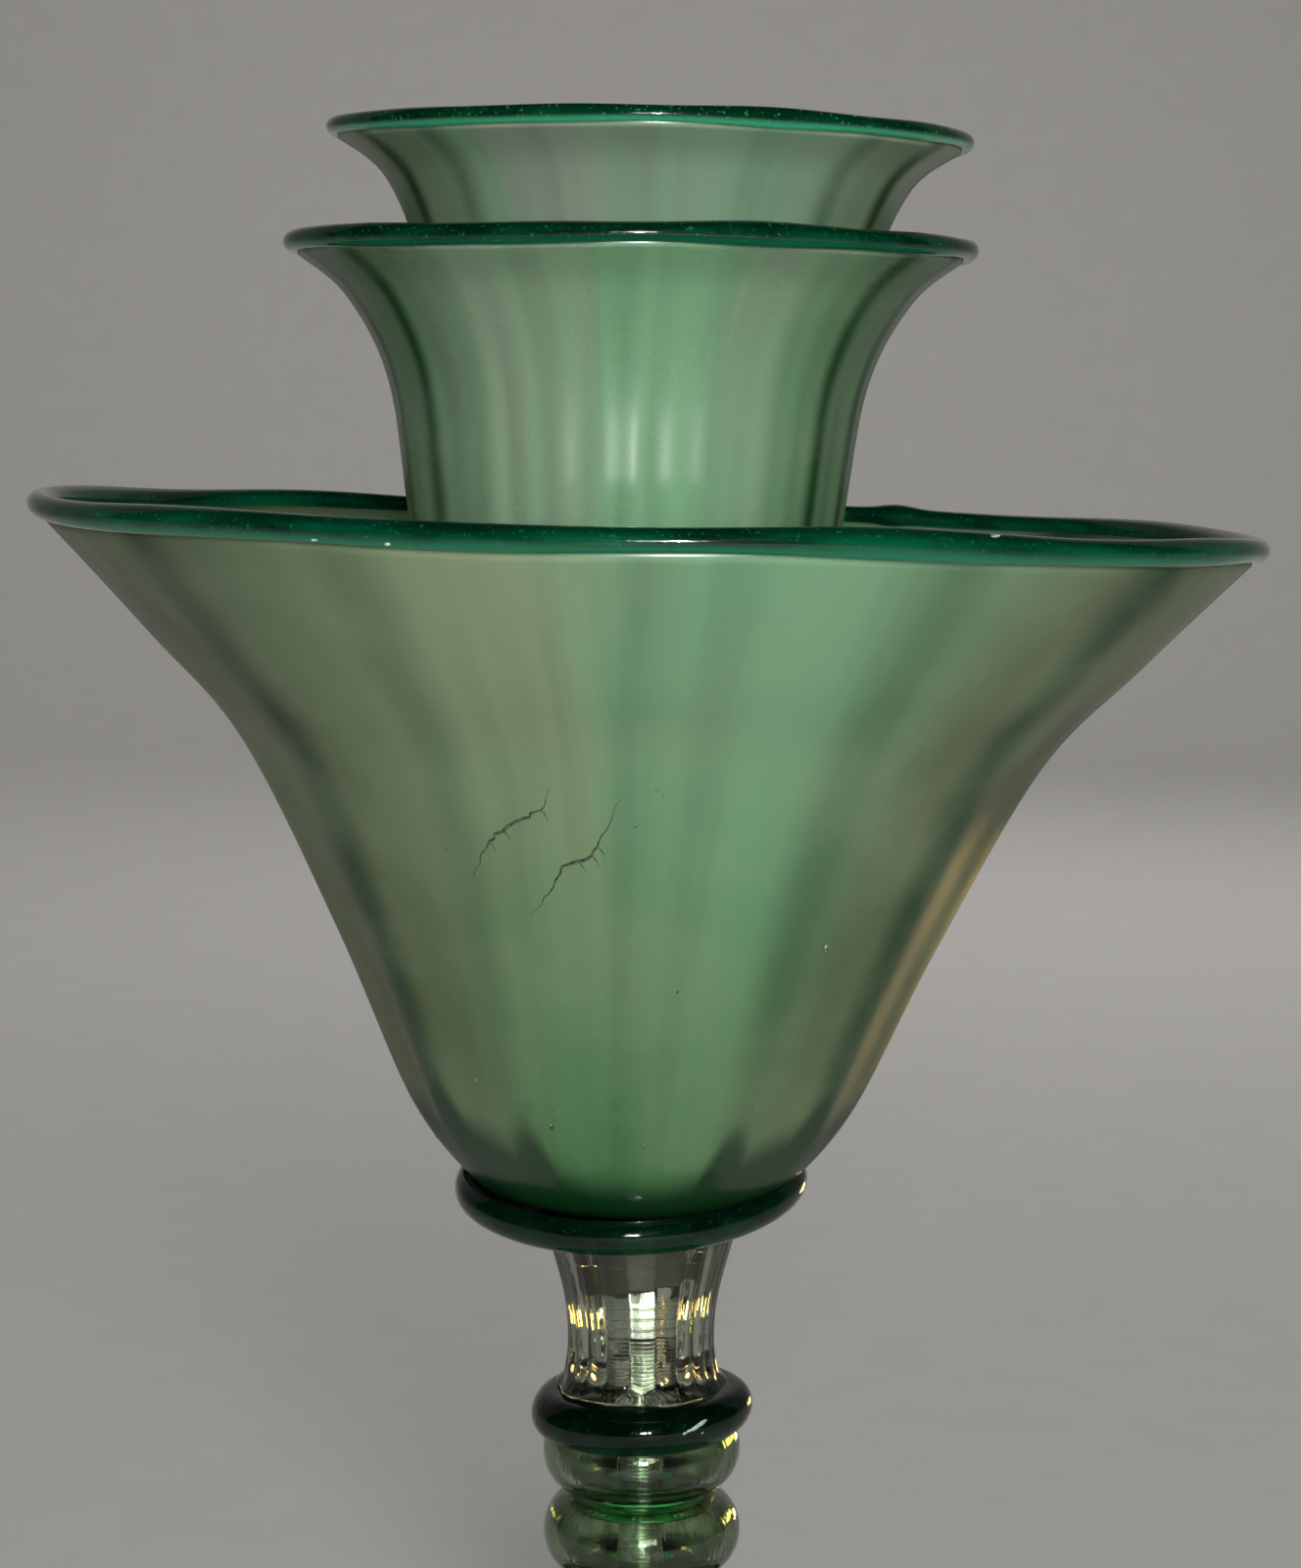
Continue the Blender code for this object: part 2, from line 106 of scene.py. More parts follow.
class Recipe:
    """The node tree of one material, with short calls for the nodes that the finishes need."""

    def __init__(self, name: str) -> None:
        """Starts a material with a lone Principled shader.

        Args:
            name: The material's name.
        """
        self.material = bpy.data.materials.new(name)
        self.material.use_nodes = True
        self.tree = self.material.node_tree
        self.shader = self.tree.nodes["Principled BSDF"]
        self.place = self.node("TexCoord").outputs["Object"]

    def feed(self, socket: Socket, value: object) -> None:
        """Links a socket's output, or sets a constant, on an input socket.

        Args:
            socket: The input to fill.
            value: An output socket, a number or a tuple.
        """
        if isinstance(value, Socket):
            self.tree.links.new(value, socket)
        elif isinstance(value, tuple) and len(socket.default_value) == 4:
            socket.default_value = (*value[:3], 1.0)
        else:
            socket.default_value = value

    def dress(self, **values: float | Colour | Socket) -> None:
        """Sets or links the shader's own sockets. Underscores in a name stand for spaces.

        Args:
            **values: Each socket's name, and its number, colour or feed.
        """
        for name, value in values.items():
            self.feed(self.shader.inputs[name.replace("_", " ")], value)

    def node(self, kind: str, *values: object, operation: str = "") -> bpy.types.Node:
        """Adds a node.

        Args:
            kind: Its kind.
            *values: Its inputs in order, as sockets or numbers.
            operation: What it works out, where it has a choice.

        Returns:
            The node.
        """
        made = self.tree.nodes.new(f"ShaderNode{kind}")
        if operation:
            made.operation = operation
        for socket, value in zip(made.inputs, values):
            self.feed(socket, value)
        return made

    def math(self, operation: str, *values: object) -> Socket:
        """Works out a number from sockets and numbers."""
        return self.node("Math", *values, operation=operation).outputs[0]

    def times(self, first: object, second: object) -> Socket:
        """Multiplies two numbers or sockets."""
        return self.math("MULTIPLY", first, second)

    def parts(self, vector: Socket | None = None) -> list[Socket]:
        """Splits a vector, or the place on the piece, into its X, Y and Z."""
        return list(self.node("SeparateXYZ", self.place if vector is None else vector).outputs)

    def round_axis(self, spread: float, rise: float) -> Socket:
        """Coordinates that wrap round the piece's axis with no seam, for streaks that run up the wall.

        Args:
            spread: How fast the pattern changes round the axis.
            rise: How fast it changes with height, per metre.

        Returns:
            A vector to feed to a noise.
        """
        x, y, z = self.parts()
        flat = self.node("CombineXYZ", x, y).outputs[0]
        unit = self.node("VectorMath", flat, operation="NORMALIZE").outputs[0]
        wide = self.node("VectorMath", unit, operation="SCALE")
        wide.inputs["Scale"].default_value = spread
        high = self.node("CombineXYZ", 0.0, 0.0, self.times(z, rise)).outputs[0]
        return self.node("VectorMath", wide.outputs[0], high, operation="ADD").outputs[0]

    def noise(self, where: Socket, scale: float, detail: float = 2.0) -> Socket:
        """Adds a noise.

        Args:
            where: The coordinates that it follows.
            scale: Its scale.
            detail: How many finer layers it has.

        Returns:
            Its grey value, about 0.3 to 0.7.
        """
        made = self.node("TexNoise", where)
        made.inputs["Scale"].default_value = scale
        made.inputs["Detail"].default_value = detail
        return made.outputs[0]

    def ribs(self, count: int, sharpness: float) -> Socket:
        """A pulse that is 1 along each rib and 0 between them.

        Args:
            count: Ribs round the piece, one of them facing the viewer.
            sharpness: How narrow each one is.

        Returns:
            The pulse.
        """
        x, y, _ = self.parts()
        turn = self.math("ADD", self.math("ARCTAN2", y, x), -FRONT)
        wave = self.math("COSINE", self.times(turn, float(count)))
        return self.math("POWER", self.math("MAXIMUM", wave, 0.0), sharpness)

    def sideways(self) -> Socket:
        """Works out how far round to a side a point is.

        Returns:
            0 in front and behind, 1 at the left and the right.
        """
        x, y, _ = self.parts()
        flat = self.math("SQRT", self.math("ADD", self.times(x, x), self.times(y, y)))
        return self.math("DIVIDE", self.math("ABSOLUTE", x), self.math("MAXIMUM", flat, 0.0001))

    def spread(self, value: Socket, low: float, high: float) -> Socket:
        """Maps low to high smoothly onto 0 to 1.

        Args:
            value: The number to map.
            low: Where it gives 0.
            high: Where it gives 1.

        Returns:
            The mapped number.
        """
        made = self.node("MapRange", value, low, high)
        made.interpolation_type = "SMOOTHSTEP"
        return made.outputs[0]

    def mix(self, share: object, first: object, second: object) -> Socket:
        """Mixes two colours.

        Args:
            share: How much of the second, from 0 to 1.
            first: A colour or a socket.
            second: A colour or a socket.

        Returns:
            The mixed colour.
        """
        made = self.node("Mix", share)
        made.data_type = "RGBA"
        self.feed(made.inputs[6], first)
        self.feed(made.inputs[7], second)
        return made.outputs[2]

    def shine(self, full: float, grazing: float, low: float = 0.25, high: float = 0.80) -> Socket:
        """A gloss that changes towards the grazing edge of a round piece.

        Args:
            full: Its strength where the glass is seen square on.
            grazing: Its strength at the edge.
            low: How grazing the view is where it starts to change.
            high: How grazing it is where the change ends.

        Returns:
            The strength.
        """
        edge = self.spread(self.node("LayerWeight").outputs["Facing"], low, high)
        return self.math("MULTIPLY_ADD", edge, grazing - full, full)

    def relief(self, height: Socket, depth: float, strength: float = 1.0) -> None:
        """Gives the surface a fine relief.

        Args:
            height: The relief, from 0 to 1.
            depth: What 1 stands for, in metres.
            strength: How much of it shows.
        """
        made = self.node("Bump")
        self.feed(made.inputs["Height"], height)
        made.inputs["Distance"].default_value = depth
        made.inputs["Strength"].default_value = strength
        self.dress(Normal=made.outputs[0])


@dataclass(frozen=True)
class SatinGlass:
    """Green blown glass with a soft bloom: leaf green and warm grey streaks, with painted shade on its left
    and right sides.
    """

    name: str
    green: Colour
    grey: Colour
    # painted shade: the darker grey laid on the left and right sides of the wall
    side: Colour
    vein: Colour
    ribs: int
    streaks: float = 1.6
    front_vein: float = 0.14
    # the rib lines' strength at the sides: real vein plus painted shade
    side_vein_and_shade: float = 0.95
    low_green: Colour = (0.0, 0.0, 0.0)
    low_from: float = 0.0
    low_to: float = 0.0
    pool: float = 0.0
    side_shade_from: float = 0.45
    rib_shade_from: float = 0.58
    transmission: float = 0.08
    roughness: float = 0.32
    bloom: float = 0.14  # roughness of the outermost skin

    def make(self) -> Paint:
        """Mixes the finish.

        Returns:
            Its material, for pieces whose own axis is their Z.
        """
        mix = Recipe(self.name)
        _, _, z = mix.parts()
        broad = mix.spread(mix.noise(mix.round_axis(self.streaks, 2.0), 1.6, 2.0), 0.36, 0.62)
        colour = mix.mix(broad, self.grey, self.green)
        if self.low_to > self.low_from:
            low = mix.spread(z, self.low_to, self.low_from)
            colour = mix.mix(mix.times(low, 0.96), colour, self.low_green)
        fine = mix.noise(mix.round_axis(7.0, 5.0), 1.0, 3.0)
        colour = mix.mix(mix.times(mix.spread(fine, 0.42, 0.72), 0.22), colour, self.vein)
        aside = mix.sideways()
        # painted shade: greys and darkens the wall towards its left and right sides
        colour = mix.mix(mix.spread(aside, self.side_shade_from, 0.86), colour, self.side)
        # painted shade: the rib lines grow much darker towards the left and right sides than in front
        side_rib_shade = self.side_vein_and_shade - self.front_vein
        share = mix.math("MULTIPLY_ADD", mix.spread(aside, self.rib_shade_from, 0.80), side_rib_shade, self.front_vein)
        colour = mix.mix(mix.times(mix.ribs(self.ribs, 1.7), share), colour, self.vein)
        cloud = mix.noise(mix.place, 26.0, 5.0)
        colour = mix.mix(mix.times(mix.spread(cloud, 0.38, 0.66), 0.24), colour, self.grey)
        if self.pool > 0.0:
            tongue = mix.times(mix.ribs(self.ribs, 1.4), mix.noise(mix.round_axis(3.0, 1.0), 1.0, 2.0))
            tongue = mix.times(tongue, mix.times(mix.spread(aside, 0.08, 0.34), 1.3))
            reach = mix.math("MULTIPLY_ADD", mix.spread(aside, 0.15, 0.85), 1.15, 0.80)
            reach = mix.math("ADD", reach, tongue)
            top = mix.times(reach, self.pool)
            dark = mix.spread(mix.math("SUBTRACT", z, top), 0.0070, -0.0035)
            colour = mix.mix(mix.times(dark, 0.95), colour, tint(7, 52, 22))
        mix.dress(Base_Color=colour)
        dapple = mix.noise(mix.place, 70.0, 4.0)
        mix.dress(Roughness=mix.math("MULTIPLY_ADD", dapple, 0.16, self.roughness - 0.08))
        mix.relief(mix.noise(mix.place, 420.0, 3.0), 0.00004, 0.6)
        mix.dress(Coat_Weight=mix.shine(0.75, 0.12))
        mix.dress(Specular_IOR_Level=mix.shine(0.35, 0.05))
        mix.dress(Transmission_Weight=self.transmission, IOR=1.46)
        mix.dress(Coat_Roughness=self.bloom, Coat_IOR=1.45)
        return mix.material


@dataclass(frozen=True)
class EmeraldGlass:
    """Dark emerald glass, glossy, with a painted glow on the faces that turn down and painted shade on those
    that turn up.
    """

    name: str
    dark: Colour = tint(3, 44, 26)
    swirl: Colour = tint(5, 70, 42)
    # painted glow: the pale teal laid on faces that turn down; the specks take this colour too
    thin: Colour = tint(34, 150, 108)
    underside_glow_share: float = 0.85
    transmission: float = 0.16
    gloss: float = 0.60

    def make(self) -> Paint:
        """Mixes the finish.

        Returns:
            Its material.
        """
        mix = Recipe(self.name)
        normal = mix.node("NewGeometry").outputs["Normal"]
        facing_down = mix.times(mix.parts(normal)[2], -1.0)
        swirl = mix.noise(mix.round_axis(5.0, 160.0), 1.0, 4.0)
        # painted glow on the faces that turn down
        edge = mix.times(mix.spread(facing_down, 0.15, 0.85), self.underside_glow_share)
        colour = mix.mix(mix.spread(swirl, 0.34, 0.68), self.dark, self.swirl)
        colour = mix.mix(edge, colour, self.thin)
        # painted shade: faces that turn up go back towards the dark colour
        above = mix.spread(facing_down, -0.05, -0.75)
        colour = mix.mix(mix.times(above, 0.75), colour, self.dark)
        speck = mix.spread(mix.noise(mix.place, 1100.0, 3.0), 0.60, 0.72)
        colour = mix.mix(mix.times(speck, 0.5), colour, self.thin)
        mix.dress(Base_Color=colour)
        seeds = mix.noise(mix.place, 900.0, 2.0)
        mix.dress(Roughness=mix.math("MULTIPLY_ADD", seeds, 0.12, 0.03))
        mix.relief(mix.noise(mix.round_axis(14.0, 160.0), 1.0, 2.0), 0.00018, 0.7)
        mix.dress(Coat_Weight=mix.shine(self.gloss, 0.4 * self.gloss))
        mix.dress(Transmission_Weight=self.transmission, IOR=1.45)
        mix.dress(Coat_Roughness=0.03, Coat_IOR=1.5, Specular_IOR_Level=0.12)
        return mix.material


@dataclass(frozen=True)
class ClearGlass:
    """Clear glass with a green cast and faint pulled cords in it."""

    name: str
    cast: Colour
    cord: Colour
    edge: Colour
    roughness: float = 0.02

    def make(self) -> Paint:
        """Mixes the finish.

        Returns:
            Its material.
        """
        mix = Recipe(self.name)
        cords = mix.noise(mix.round_axis(8.0, 6.0), 1.0, 4.0)
        colour = mix.mix(mix.spread(cords, 0.42, 0.66), self.cast, self.cord)
        colour = mix.mix(mix.shine(0.0, 1.0, 0.12, 0.62), colour, self.edge)
        mix.dress(Base_Color=colour)
        smear = mix.noise(mix.place, 160.0, 3.0)
        mix.dress(Roughness=mix.times(smear, 2.0 * self.roughness))
        mix.relief(mix.noise(mix.round_axis(16.0, 90.0), 1.0, 2.0), 0.00016, 0.5)
        mix.dress(Transmission_Weight=1.0, IOR=1.5, Coat_Weight=0.0)
        return mix.material


@dataclass(frozen=True)
class BareMetal:
    """Turned steel with a fine lathe grain and dull patches."""

    name: str
    bright: Colour
    dull: Colour
    roughness: float

    def make(self) -> Paint:
        """Mixes the finish.

        Returns:
            Its material.
        """
        mix = Recipe(self.name)
        patch = mix.noise(mix.place, 190.0, 5.0)
        mix.dress(Base_Color=mix.mix(mix.spread(patch, 0.42, 0.70), self.bright, self.dull))
        rough = mix.math("MULTIPLY_ADD", patch, 0.30, self.roughness - 0.12)
        mix.dress(Roughness=rough)
        mix.relief(mix.noise(mix.round_axis(0.3, 9000.0), 1.0, 1.0), 0.00002, 0.5)
        mix.dress(Metallic=1.0, Specular_IOR_Level=0.5)
        return mix.material


@dataclass(frozen=True)
class SoftRing:
    """Rubber or soft packing plastic, with a dusty mottle."""

    name: str
    colour: Colour
    dust: Colour
    roughness: float
    transmission: float = 0.0

    def make(self) -> Paint:
        """Mixes the finish.

        Returns:
            Its material.
        """
        mix = Recipe(self.name)
        bloom = mix.noise(mix.place, 260.0, 5.0)
        mix.dress(Base_Color=mix.mix(mix.spread(bloom, 0.45, 0.80), self.colour, self.dust))
        rough = mix.math("MULTIPLY_ADD", bloom, 0.20, self.roughness - 0.10)
        mix.dress(Roughness=rough)
        mix.relief(mix.noise(mix.place, 1500.0, 3.0), 0.00006, 0.8)
        mix.dress(Transmission_Weight=self.transmission, IOR=1.45)
        return mix.material


@dataclass(frozen=True)
class BrokenGlass:
    """The rough pale or dark face of a chip, a crack or a seed in the glass."""

    name: str
    low: Colour
    high: Colour
    roughness: float = 0.45

    def make(self) -> Paint:
        """Mixes the finish.

        Returns:
            Its material.
        """
        mix = Recipe(self.name)
        grit = mix.noise(mix.place, 900.0, 4.0)
        mix.dress(Base_Color=mix.mix(mix.spread(grit, 0.38, 0.62), self.low, self.high))
        mix.dress(Roughness=mix.math("MULTIPLY_ADD", grit, 0.3, self.roughness - 0.15))
        mix.relief(grit, 0.0002, 1.0)
        mix.dress(Coat_Weight=0.3, IOR=1.5)
        return mix.material


# ---- Turned shapes ----


def curve_through(points: Profile, per_span: int) -> Line:
    """A smooth line through points in the (radius, height) plane.

    Args:
        points: The points to pass through.
        per_span: Steps from each point to the next.

    Returns:
        The points of a Catmull-Rom curve.
    """
    ends = [points[0], *points, points[-1]]
    line = []
    for i in range(len(points) - 1):
        a, b, c, d = ends[i : i + 4]
        for step in range(per_span):
            t, point = step / per_span, []
            for w, x, y, z in zip(a, b, c, d):
                square, cube = 2 * w - 5 * x + 4 * y - z, 3 * x - w - 3 * y + z
                point.append(0.5 * (2 * x + (y - w) * t + square * t**2 + cube * t**3))
            line.append(tuple(point))
    line.append(tuple(points[-1]))
    return line


def moved_in(line: Line, wall: float) -> Line:
    """The inner skin that belongs to an outer one.

    Args:
        line: The outer line, running upwards.
        wall: The wall's thickness.

    Returns:
        The line moved inwards by the wall.
    """
    inner = []
    for i, (radius, height) in enumerate(line):
        before, after = line[max(i - 1, 0)], line[min(i + 1, len(line) - 1)]
        out, up = after[0] - before[0], after[1] - before[1]
        length = math.hypot(out, up)
        inner.append((radius - wall * up / length, height + wall * out / length))
    return inner


def bend_round(
    centre: tuple[float, float], across: float, up: float, start: float, stop: float, steps: int
) -> Line:
    """Points of an elliptical arc.

    Args:
        centre: Its middle, as radius and height.
        across: Its radius outwards.
        up: Its radius upwards.
        start: First angle in degrees, where 90 is straight up.
        stop: Last angle in degrees.
        steps: How many steps it takes.

    Returns:
        The arc's points.
    """
    line = []
    for step in range(steps + 1):
        angle = math.radians(start + (stop - start) * step / steps)
        line.append((centre[0] + across * math.cos(angle), centre[1] + up * math.sin(angle)))
    return line


def skinned(line: Line, skin: float) -> Skin:
    """Marks each point of a line with how strongly the ribs move it."""
    return [(radius, height, skin) for radius, height in line]


def plain(*points: tuple[float, float]) -> Skin:
    """Marks points that the ribs leave alone."""
    return skinned(list(points), 0.0)


def smooth(value: np.ndarray | float, low: float, high: float) -> np.ndarray:
    """Rises smoothly from 0 at low to 1 at high."""
    t = np.clip((np.asarray(value, float) - low) / (high - low), 0.0, 1.0)
    return t * t * (3.0 - 2.0 * t)


def polar(angle: float, radius: float, rise: float) -> Vector:
    """The point at an angle round Z."""
    return Vector((radius * math.cos(angle), radius * math.sin(angle), rise))


@dataclass(frozen=True)
class Rows:
    """The true form of a turned piece: radii, heights, a warp's share in each, and the angle round it."""

    radius: np.ndarray
    height: np.ndarray
    skin: np.ndarray
    angle: np.ndarray


Warp = Callable[[Rows], Moved]


@dataclass(frozen=True)
class Stance:
    """Where a turned piece's axis stands, and its lean towards +X in degrees."""

    x: float = 0.0
    z: float = 0.0
    lean: float = 0.0


@dataclass(frozen=True)
class Sway:
    """How far hand work has moved an edge off true: a lift and a spread for each number of waves round it."""

    waves: tuple[tuple[int, float, float, float], ...]  # waves round, lift, spread, and the crest in degrees

    def lift(self, angle: np.ndarray) -> np.ndarray:
        """How much higher the edge is at an angle."""
        return sum(up * np.cos(n * (angle - FRONT - math.radians(at))) for n, up, _, at in self.waves)

    def spread(self, angle: np.ndarray) -> np.ndarray:
        """How much further out the edge is at an angle."""
        return sum(out * np.cos(n * (angle - FRONT - math.radians(at))) for n, _, out, at in self.waves)


def standing(name: str, data: bpy.types.ID, stance: Stance = Stance()) -> Piece:
    """Puts a mesh, a light or a camera into the scene.

    Args:
        name: The object's name.
        data: What it holds.
        stance: Where its axis stands.

    Returns:
        The object.
    """
    piece = bpy.data.objects.new(name, data)
    bpy.context.scene.collection.objects.link(piece)
    piece.location = (stance.x, 0.0, stance.z)
    piece.rotation_euler = (0.0, math.radians(stance.lean), 0.0)
    return piece


def cast(name: str, work: bmesh.types.BMesh, stance: Stance = Stance(), soft: bool = False) -> Piece:
    """Turns a mesh in the making into a piece.

    Args:
        name: The piece's name.
        work: The mesh in the making, which is freed.
        stance: Where its axis stands.
        soft: Whether it is shaded smooth.

    Returns:
        The piece.
    """
    mesh = bpy.data.meshes.new(name)
    work.to_mesh(mesh)
    work.free()
    if soft:
        mesh.shade_smooth()
    return standing(name, mesh, stance)


def turn_up(
    name: str, outline: Skin, around: int, stance: Stance = Stance(), warp: Warp | None = None
) -> Piece:
    """Turns an outline round Z into a closed mesh.

    Args:
        name: The piece's name.
        outline: Rows of radius, height and skin. It closes on itself.
        around: Steps round the axis.
        stance: Where the axis stands.
        warp: Moves the rows' radii and heights.

    Returns:
        The piece, smooth-shaded.
    """
    rows = np.array(outline, float)
    angle = np.linspace(0.0, math.tau, around, endpoint=False)[None, :]
    radius, height, skin = (np.repeat(rows[:, k : k + 1], around, axis=1) for k in range(3))
    if warp is not None:
        radius, height = warp(Rows(radius, height, skin, angle))
    points = np.stack([radius * np.cos(angle), radius * np.sin(angle), height], axis=-1).reshape(-1, 3)
    faces = []
    for i in range(len(rows)):
        above = (i + 1) % len(rows)
        if max(rows[i][0], rows[above][0]) > ON_AXIS:
            for j in range(around):
                beside = (j + 1) % around
                corners = ((i, j), (i, beside), (above, beside), (above, j))
                faces.append([row * around + column for row, column in corners])
    mesh = bpy.data.meshes.new(name)
    mesh.from_pydata(points.tolist(), [], faces)
    work = bmesh.new()
    work.from_mesh(mesh)
    bmesh.ops.remove_doubles(work, verts=work.verts, dist=ON_AXIS)
    bmesh.ops.dissolve_degenerate(work, edges=work.edges, dist=1e-7)
    bmesh.ops.recalc_face_normals(work, faces=work.faces)
    return cast(name, work, stance, soft=True)


def crisp(piece: Piece, degrees: float = 35.0) -> None:
    """Keeps edges sharper than an angle sharp, and shades the rest smooth."""
    piece.data.set_sharp_from_angle(angle=math.radians(degrees))


@dataclass
class Bench:
    """Puts finished pieces on the frame: finish, body and the nodes that they stand for."""

    made: int = 0

    def settle(
        self, piece: Piece, finish: Paint, node: str = "", body: Body = Body.STAND
    ) -> Piece:
        """Dresses a piece and hands it to the frame.

        Args:
            piece: The piece, in place.
            finish: Its material.
            node: The CAD node that it stands for, if there is one.
            body: The body that it moves with.

        Returns:
            The same piece.
        """
        piece.data.materials.clear()
        piece.data.materials.append(finish)
        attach(piece, body.value)
        if node:
            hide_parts(node)
        self.made += 1
        LOG.info("%s rides on %s, with %d faces", piece.name, body.value, len(piece.data.polygons))
        return piece


BENCH = Bench()


# ---- Bowl and vases ----


@dataclass
class Vessel:
    """A blown vessel with a flared, ribbed wall and a dark thread of glass wound round its lip."""

    name: str
    body: Body
    stance: Stance
    line: Profile
    wall: float
    floor: float
    ribs: int
    rib_height: float
    sway: Sway
    trail_major: float
    trail_minor: float
    trail_height: float
    glass: SatinGlass
    thread: EmeraldGlass
    bore: float = 0.0
    socket: float = 0.0
    socket_depth: float = 0.0
    rib_wander: float = 0.03
    ripples: int = 41
    ripple_height: float = 0.00003
    steps_round: int = 360

    def warp(self, rows: Rows) -> Moved:
        """Raises the ribs, and lets the lip wander as blown glass does.

        Args:
            rows: The true form.

        Returns:
            The moved radii and heights.
        """
        height, angle, tall = rows.height, rows.angle, self.line[-1][1]
        wander = self.rib_wander * np.sin(3.0 * angle + 1.3)
        wander = wander + 0.6 * self.rib_wander * np.sin(5.0 * angle + height * 30.0)
        rib = np.cos(self.ribs * (angle - FRONT + wander))
        grow = smooth(height, 0.004, 0.030) * (1.0 - 0.72 * smooth(height, 0.80 * tall, tall))
        near_lip = smooth(height, 0.45 * tall, tall)
        fine = np.cos(self.ripples * (angle - FRONT) + 2.0 * np.sin(2.0 * angle + 9.0 * height))
        relief = self.rib_height * rib + self.ripple_height * fine
        moved = rows.radius + rows.skin * grow * relief + near_lip * self.sway.spread(angle)
        return moved, height + near_lip * self.sway.lift(angle)

    def outline(self) -> Skin:
        """The section of the wall, down the inside, over the base and up the outside.

        Returns:
            Rows of radius, height and skin.
        """
        outer = curve_through(self.line, 10)
        inner = [point for point in moved_in(outer, self.wall) if point[1] > self.floor + 0.003]
        rows = skinned(inner[::-1], -0.35)
        knee = rows[-1][0]
        rows += plain((knee - 0.0006, self.floor + 0.0012), (knee - 0.0022, self.floor + 0.0002))
        rows += plain((knee * 0.75, self.floor), ((self.bore + knee * 0.3) / 1.1, self.floor))
        if self.bore > 0.0:
            rows += plain((self.bore, self.floor - 0.0003), (self.bore, 0.0003), (self.bore + 0.0004, 0.0))
        else:
            roof, side = self.socket_depth, self.socket
            rows += plain((0.0, self.floor), (0.0, roof), (side - 0.0034, roof))
            rows += plain((side - 0.0020, roof - 0.0012), (side, 0.0006), (side + 0.0006, 0.0))
        rows += plain((self.line[0][0] - 0.0008, 0.0))
        rows += skinned(outer[1:], 1.0)
        top_out, top_in = outer[-1], inner[-1]
        middle = ((top_out[0] + top_in[0]) / 2 + 0.0006, (top_out[1] + top_in[1]) / 2 + 0.0010)
        rows.append((*middle, 0.3))
        return rows

    def make_wall(self) -> Piece:
        """Blows the vessel itself.

        Returns:
            The wall piece.
        """
        piece = turn_up(f"{self.name}_glass", self.outline(), self.steps_round, self.stance, self.warp)
        return BENCH.settle(piece, self.glass.make(), self.name, self.body)

    def make_thread(self, node: str, join: float) -> Piece:
        """Winds the dark thread round the lip, with the lump where its two ends meet.

        Args:
            node: The CAD node of the lip.
            join: Where the ends meet, in degrees from the front.

        Returns:
            The thread piece.
        """
        major, minor, rise = self.trail_major, self.trail_minor, self.trail_height

        def wind(rows: Rows) -> Moved:
            """Follows the lip, thick and thin by turns.

            Args:
                rows: The true ring.

            Returns:
                The moved radii and heights.
            """
            angle = rows.angle
            away = np.angle(np.exp(1j * (angle - FRONT - math.radians(join))))
            swell = 1.0 + 0.07 * np.sin(5.0 * angle + 0.7) + 0.05 * np.sin(11.0 * angle + 2.1)
            swell = swell + 0.38 * np.exp(-((away / 0.045) ** 2))
            across = (rows.radius - major) * swell + major
            up = (rows.height - rise) * swell * (1.0 + 0.04 * np.sin(9.0 * angle)) + rise
            return across + self.sway.spread(angle), up + self.sway.lift(angle)

        ring = skinned(bend_round((major, rise), minor, minor, 0.0, 345.0, 23), 0.0)
        piece = turn_up(f"{self.name}_lip_thread", ring, self.steps_round, self.stance, wind)
        return BENCH.settle(piece, self.thread.make(), node, self.body)

    def on_wall(self, turn: float, height: float, proud: float = 0.0) -> Vector:
        """A point on the outside of the wall.

        Args:
            turn: Degrees from the front, to the viewer's right.
            height: Height up the vessel's own axis.
            proud: How far it stands out from the wall.

        Returns:
            The point in the vessel's own space.
        """
        outer = curve_through(self.line, 10)
        heights = [point[1] for point in outer]
        radius = float(np.interp(height, heights, [point[0] for point in outer]))
        angle = np.array([[FRONT + math.radians(turn)]])
        moved, up = self.warp(Rows(np.array([[radius]]), np.array([[height]]), np.ones((1, 1)), angle))
        return polar(float(angle[0, 0]), float(moved[0, 0]) + proud, float(up[0, 0]) - 0.6 * proud)


def bowl_of(low_green: Colour) -> Vessel:
    """The funnel bowl and its sizes.

    Args:
        low_green: Its colour near the base.

    Returns:
        The bowl.
    """
    glass = SatinGlass(
        name="satin_green_bowl",
        green=tint(124, 174, 134),
        grey=tint(144, 164, 128),
        # painted shade on the bowl's left and right sides
        side=tint(80, 92, 60),
        vein=tint(12, 58, 22),
        ribs=14,
        low_green=low_green,
        low_from=0.008,
        low_to=0.150,
        pool=0.0110,
        side_shade_from=0.20,
        rib_shade_from=0.30,
    )
    return Vessel(
        name="bowl",
        body=Body.STAND,
        stance=Stance(-0.0029, 0.1429, 2.0),
        line=(
            (0.0310, 0.0),
            (0.0370, 0.0039),
            (0.0500, 0.0210),
            (0.0678, 0.0601),
            (0.0895, 0.1017),
            (0.1105, 0.1249),
            (0.1334, 0.1484),
        ),
        wall=0.0028,
        floor=0.0080,
        ribs=14,
        rib_height=0.00065,
        sway=Sway(((1, 0.0021, 0.0, 0.0), (3, 0.0006, 0.0006, 20.0), (7, 0.0004, 0.0003, 65.0))),
        trail_major=0.1345,
        trail_minor=0.0028,
        trail_height=0.1517,
        glass=glass,
        # the lip thread's third colour is its painted glow underneath
        thread=EmeraldGlass("emerald_bowl_lip", tint(2, 40, 24), tint(5, 88, 58), tint(30, 132, 96)),
        bore=0.0098,
    )


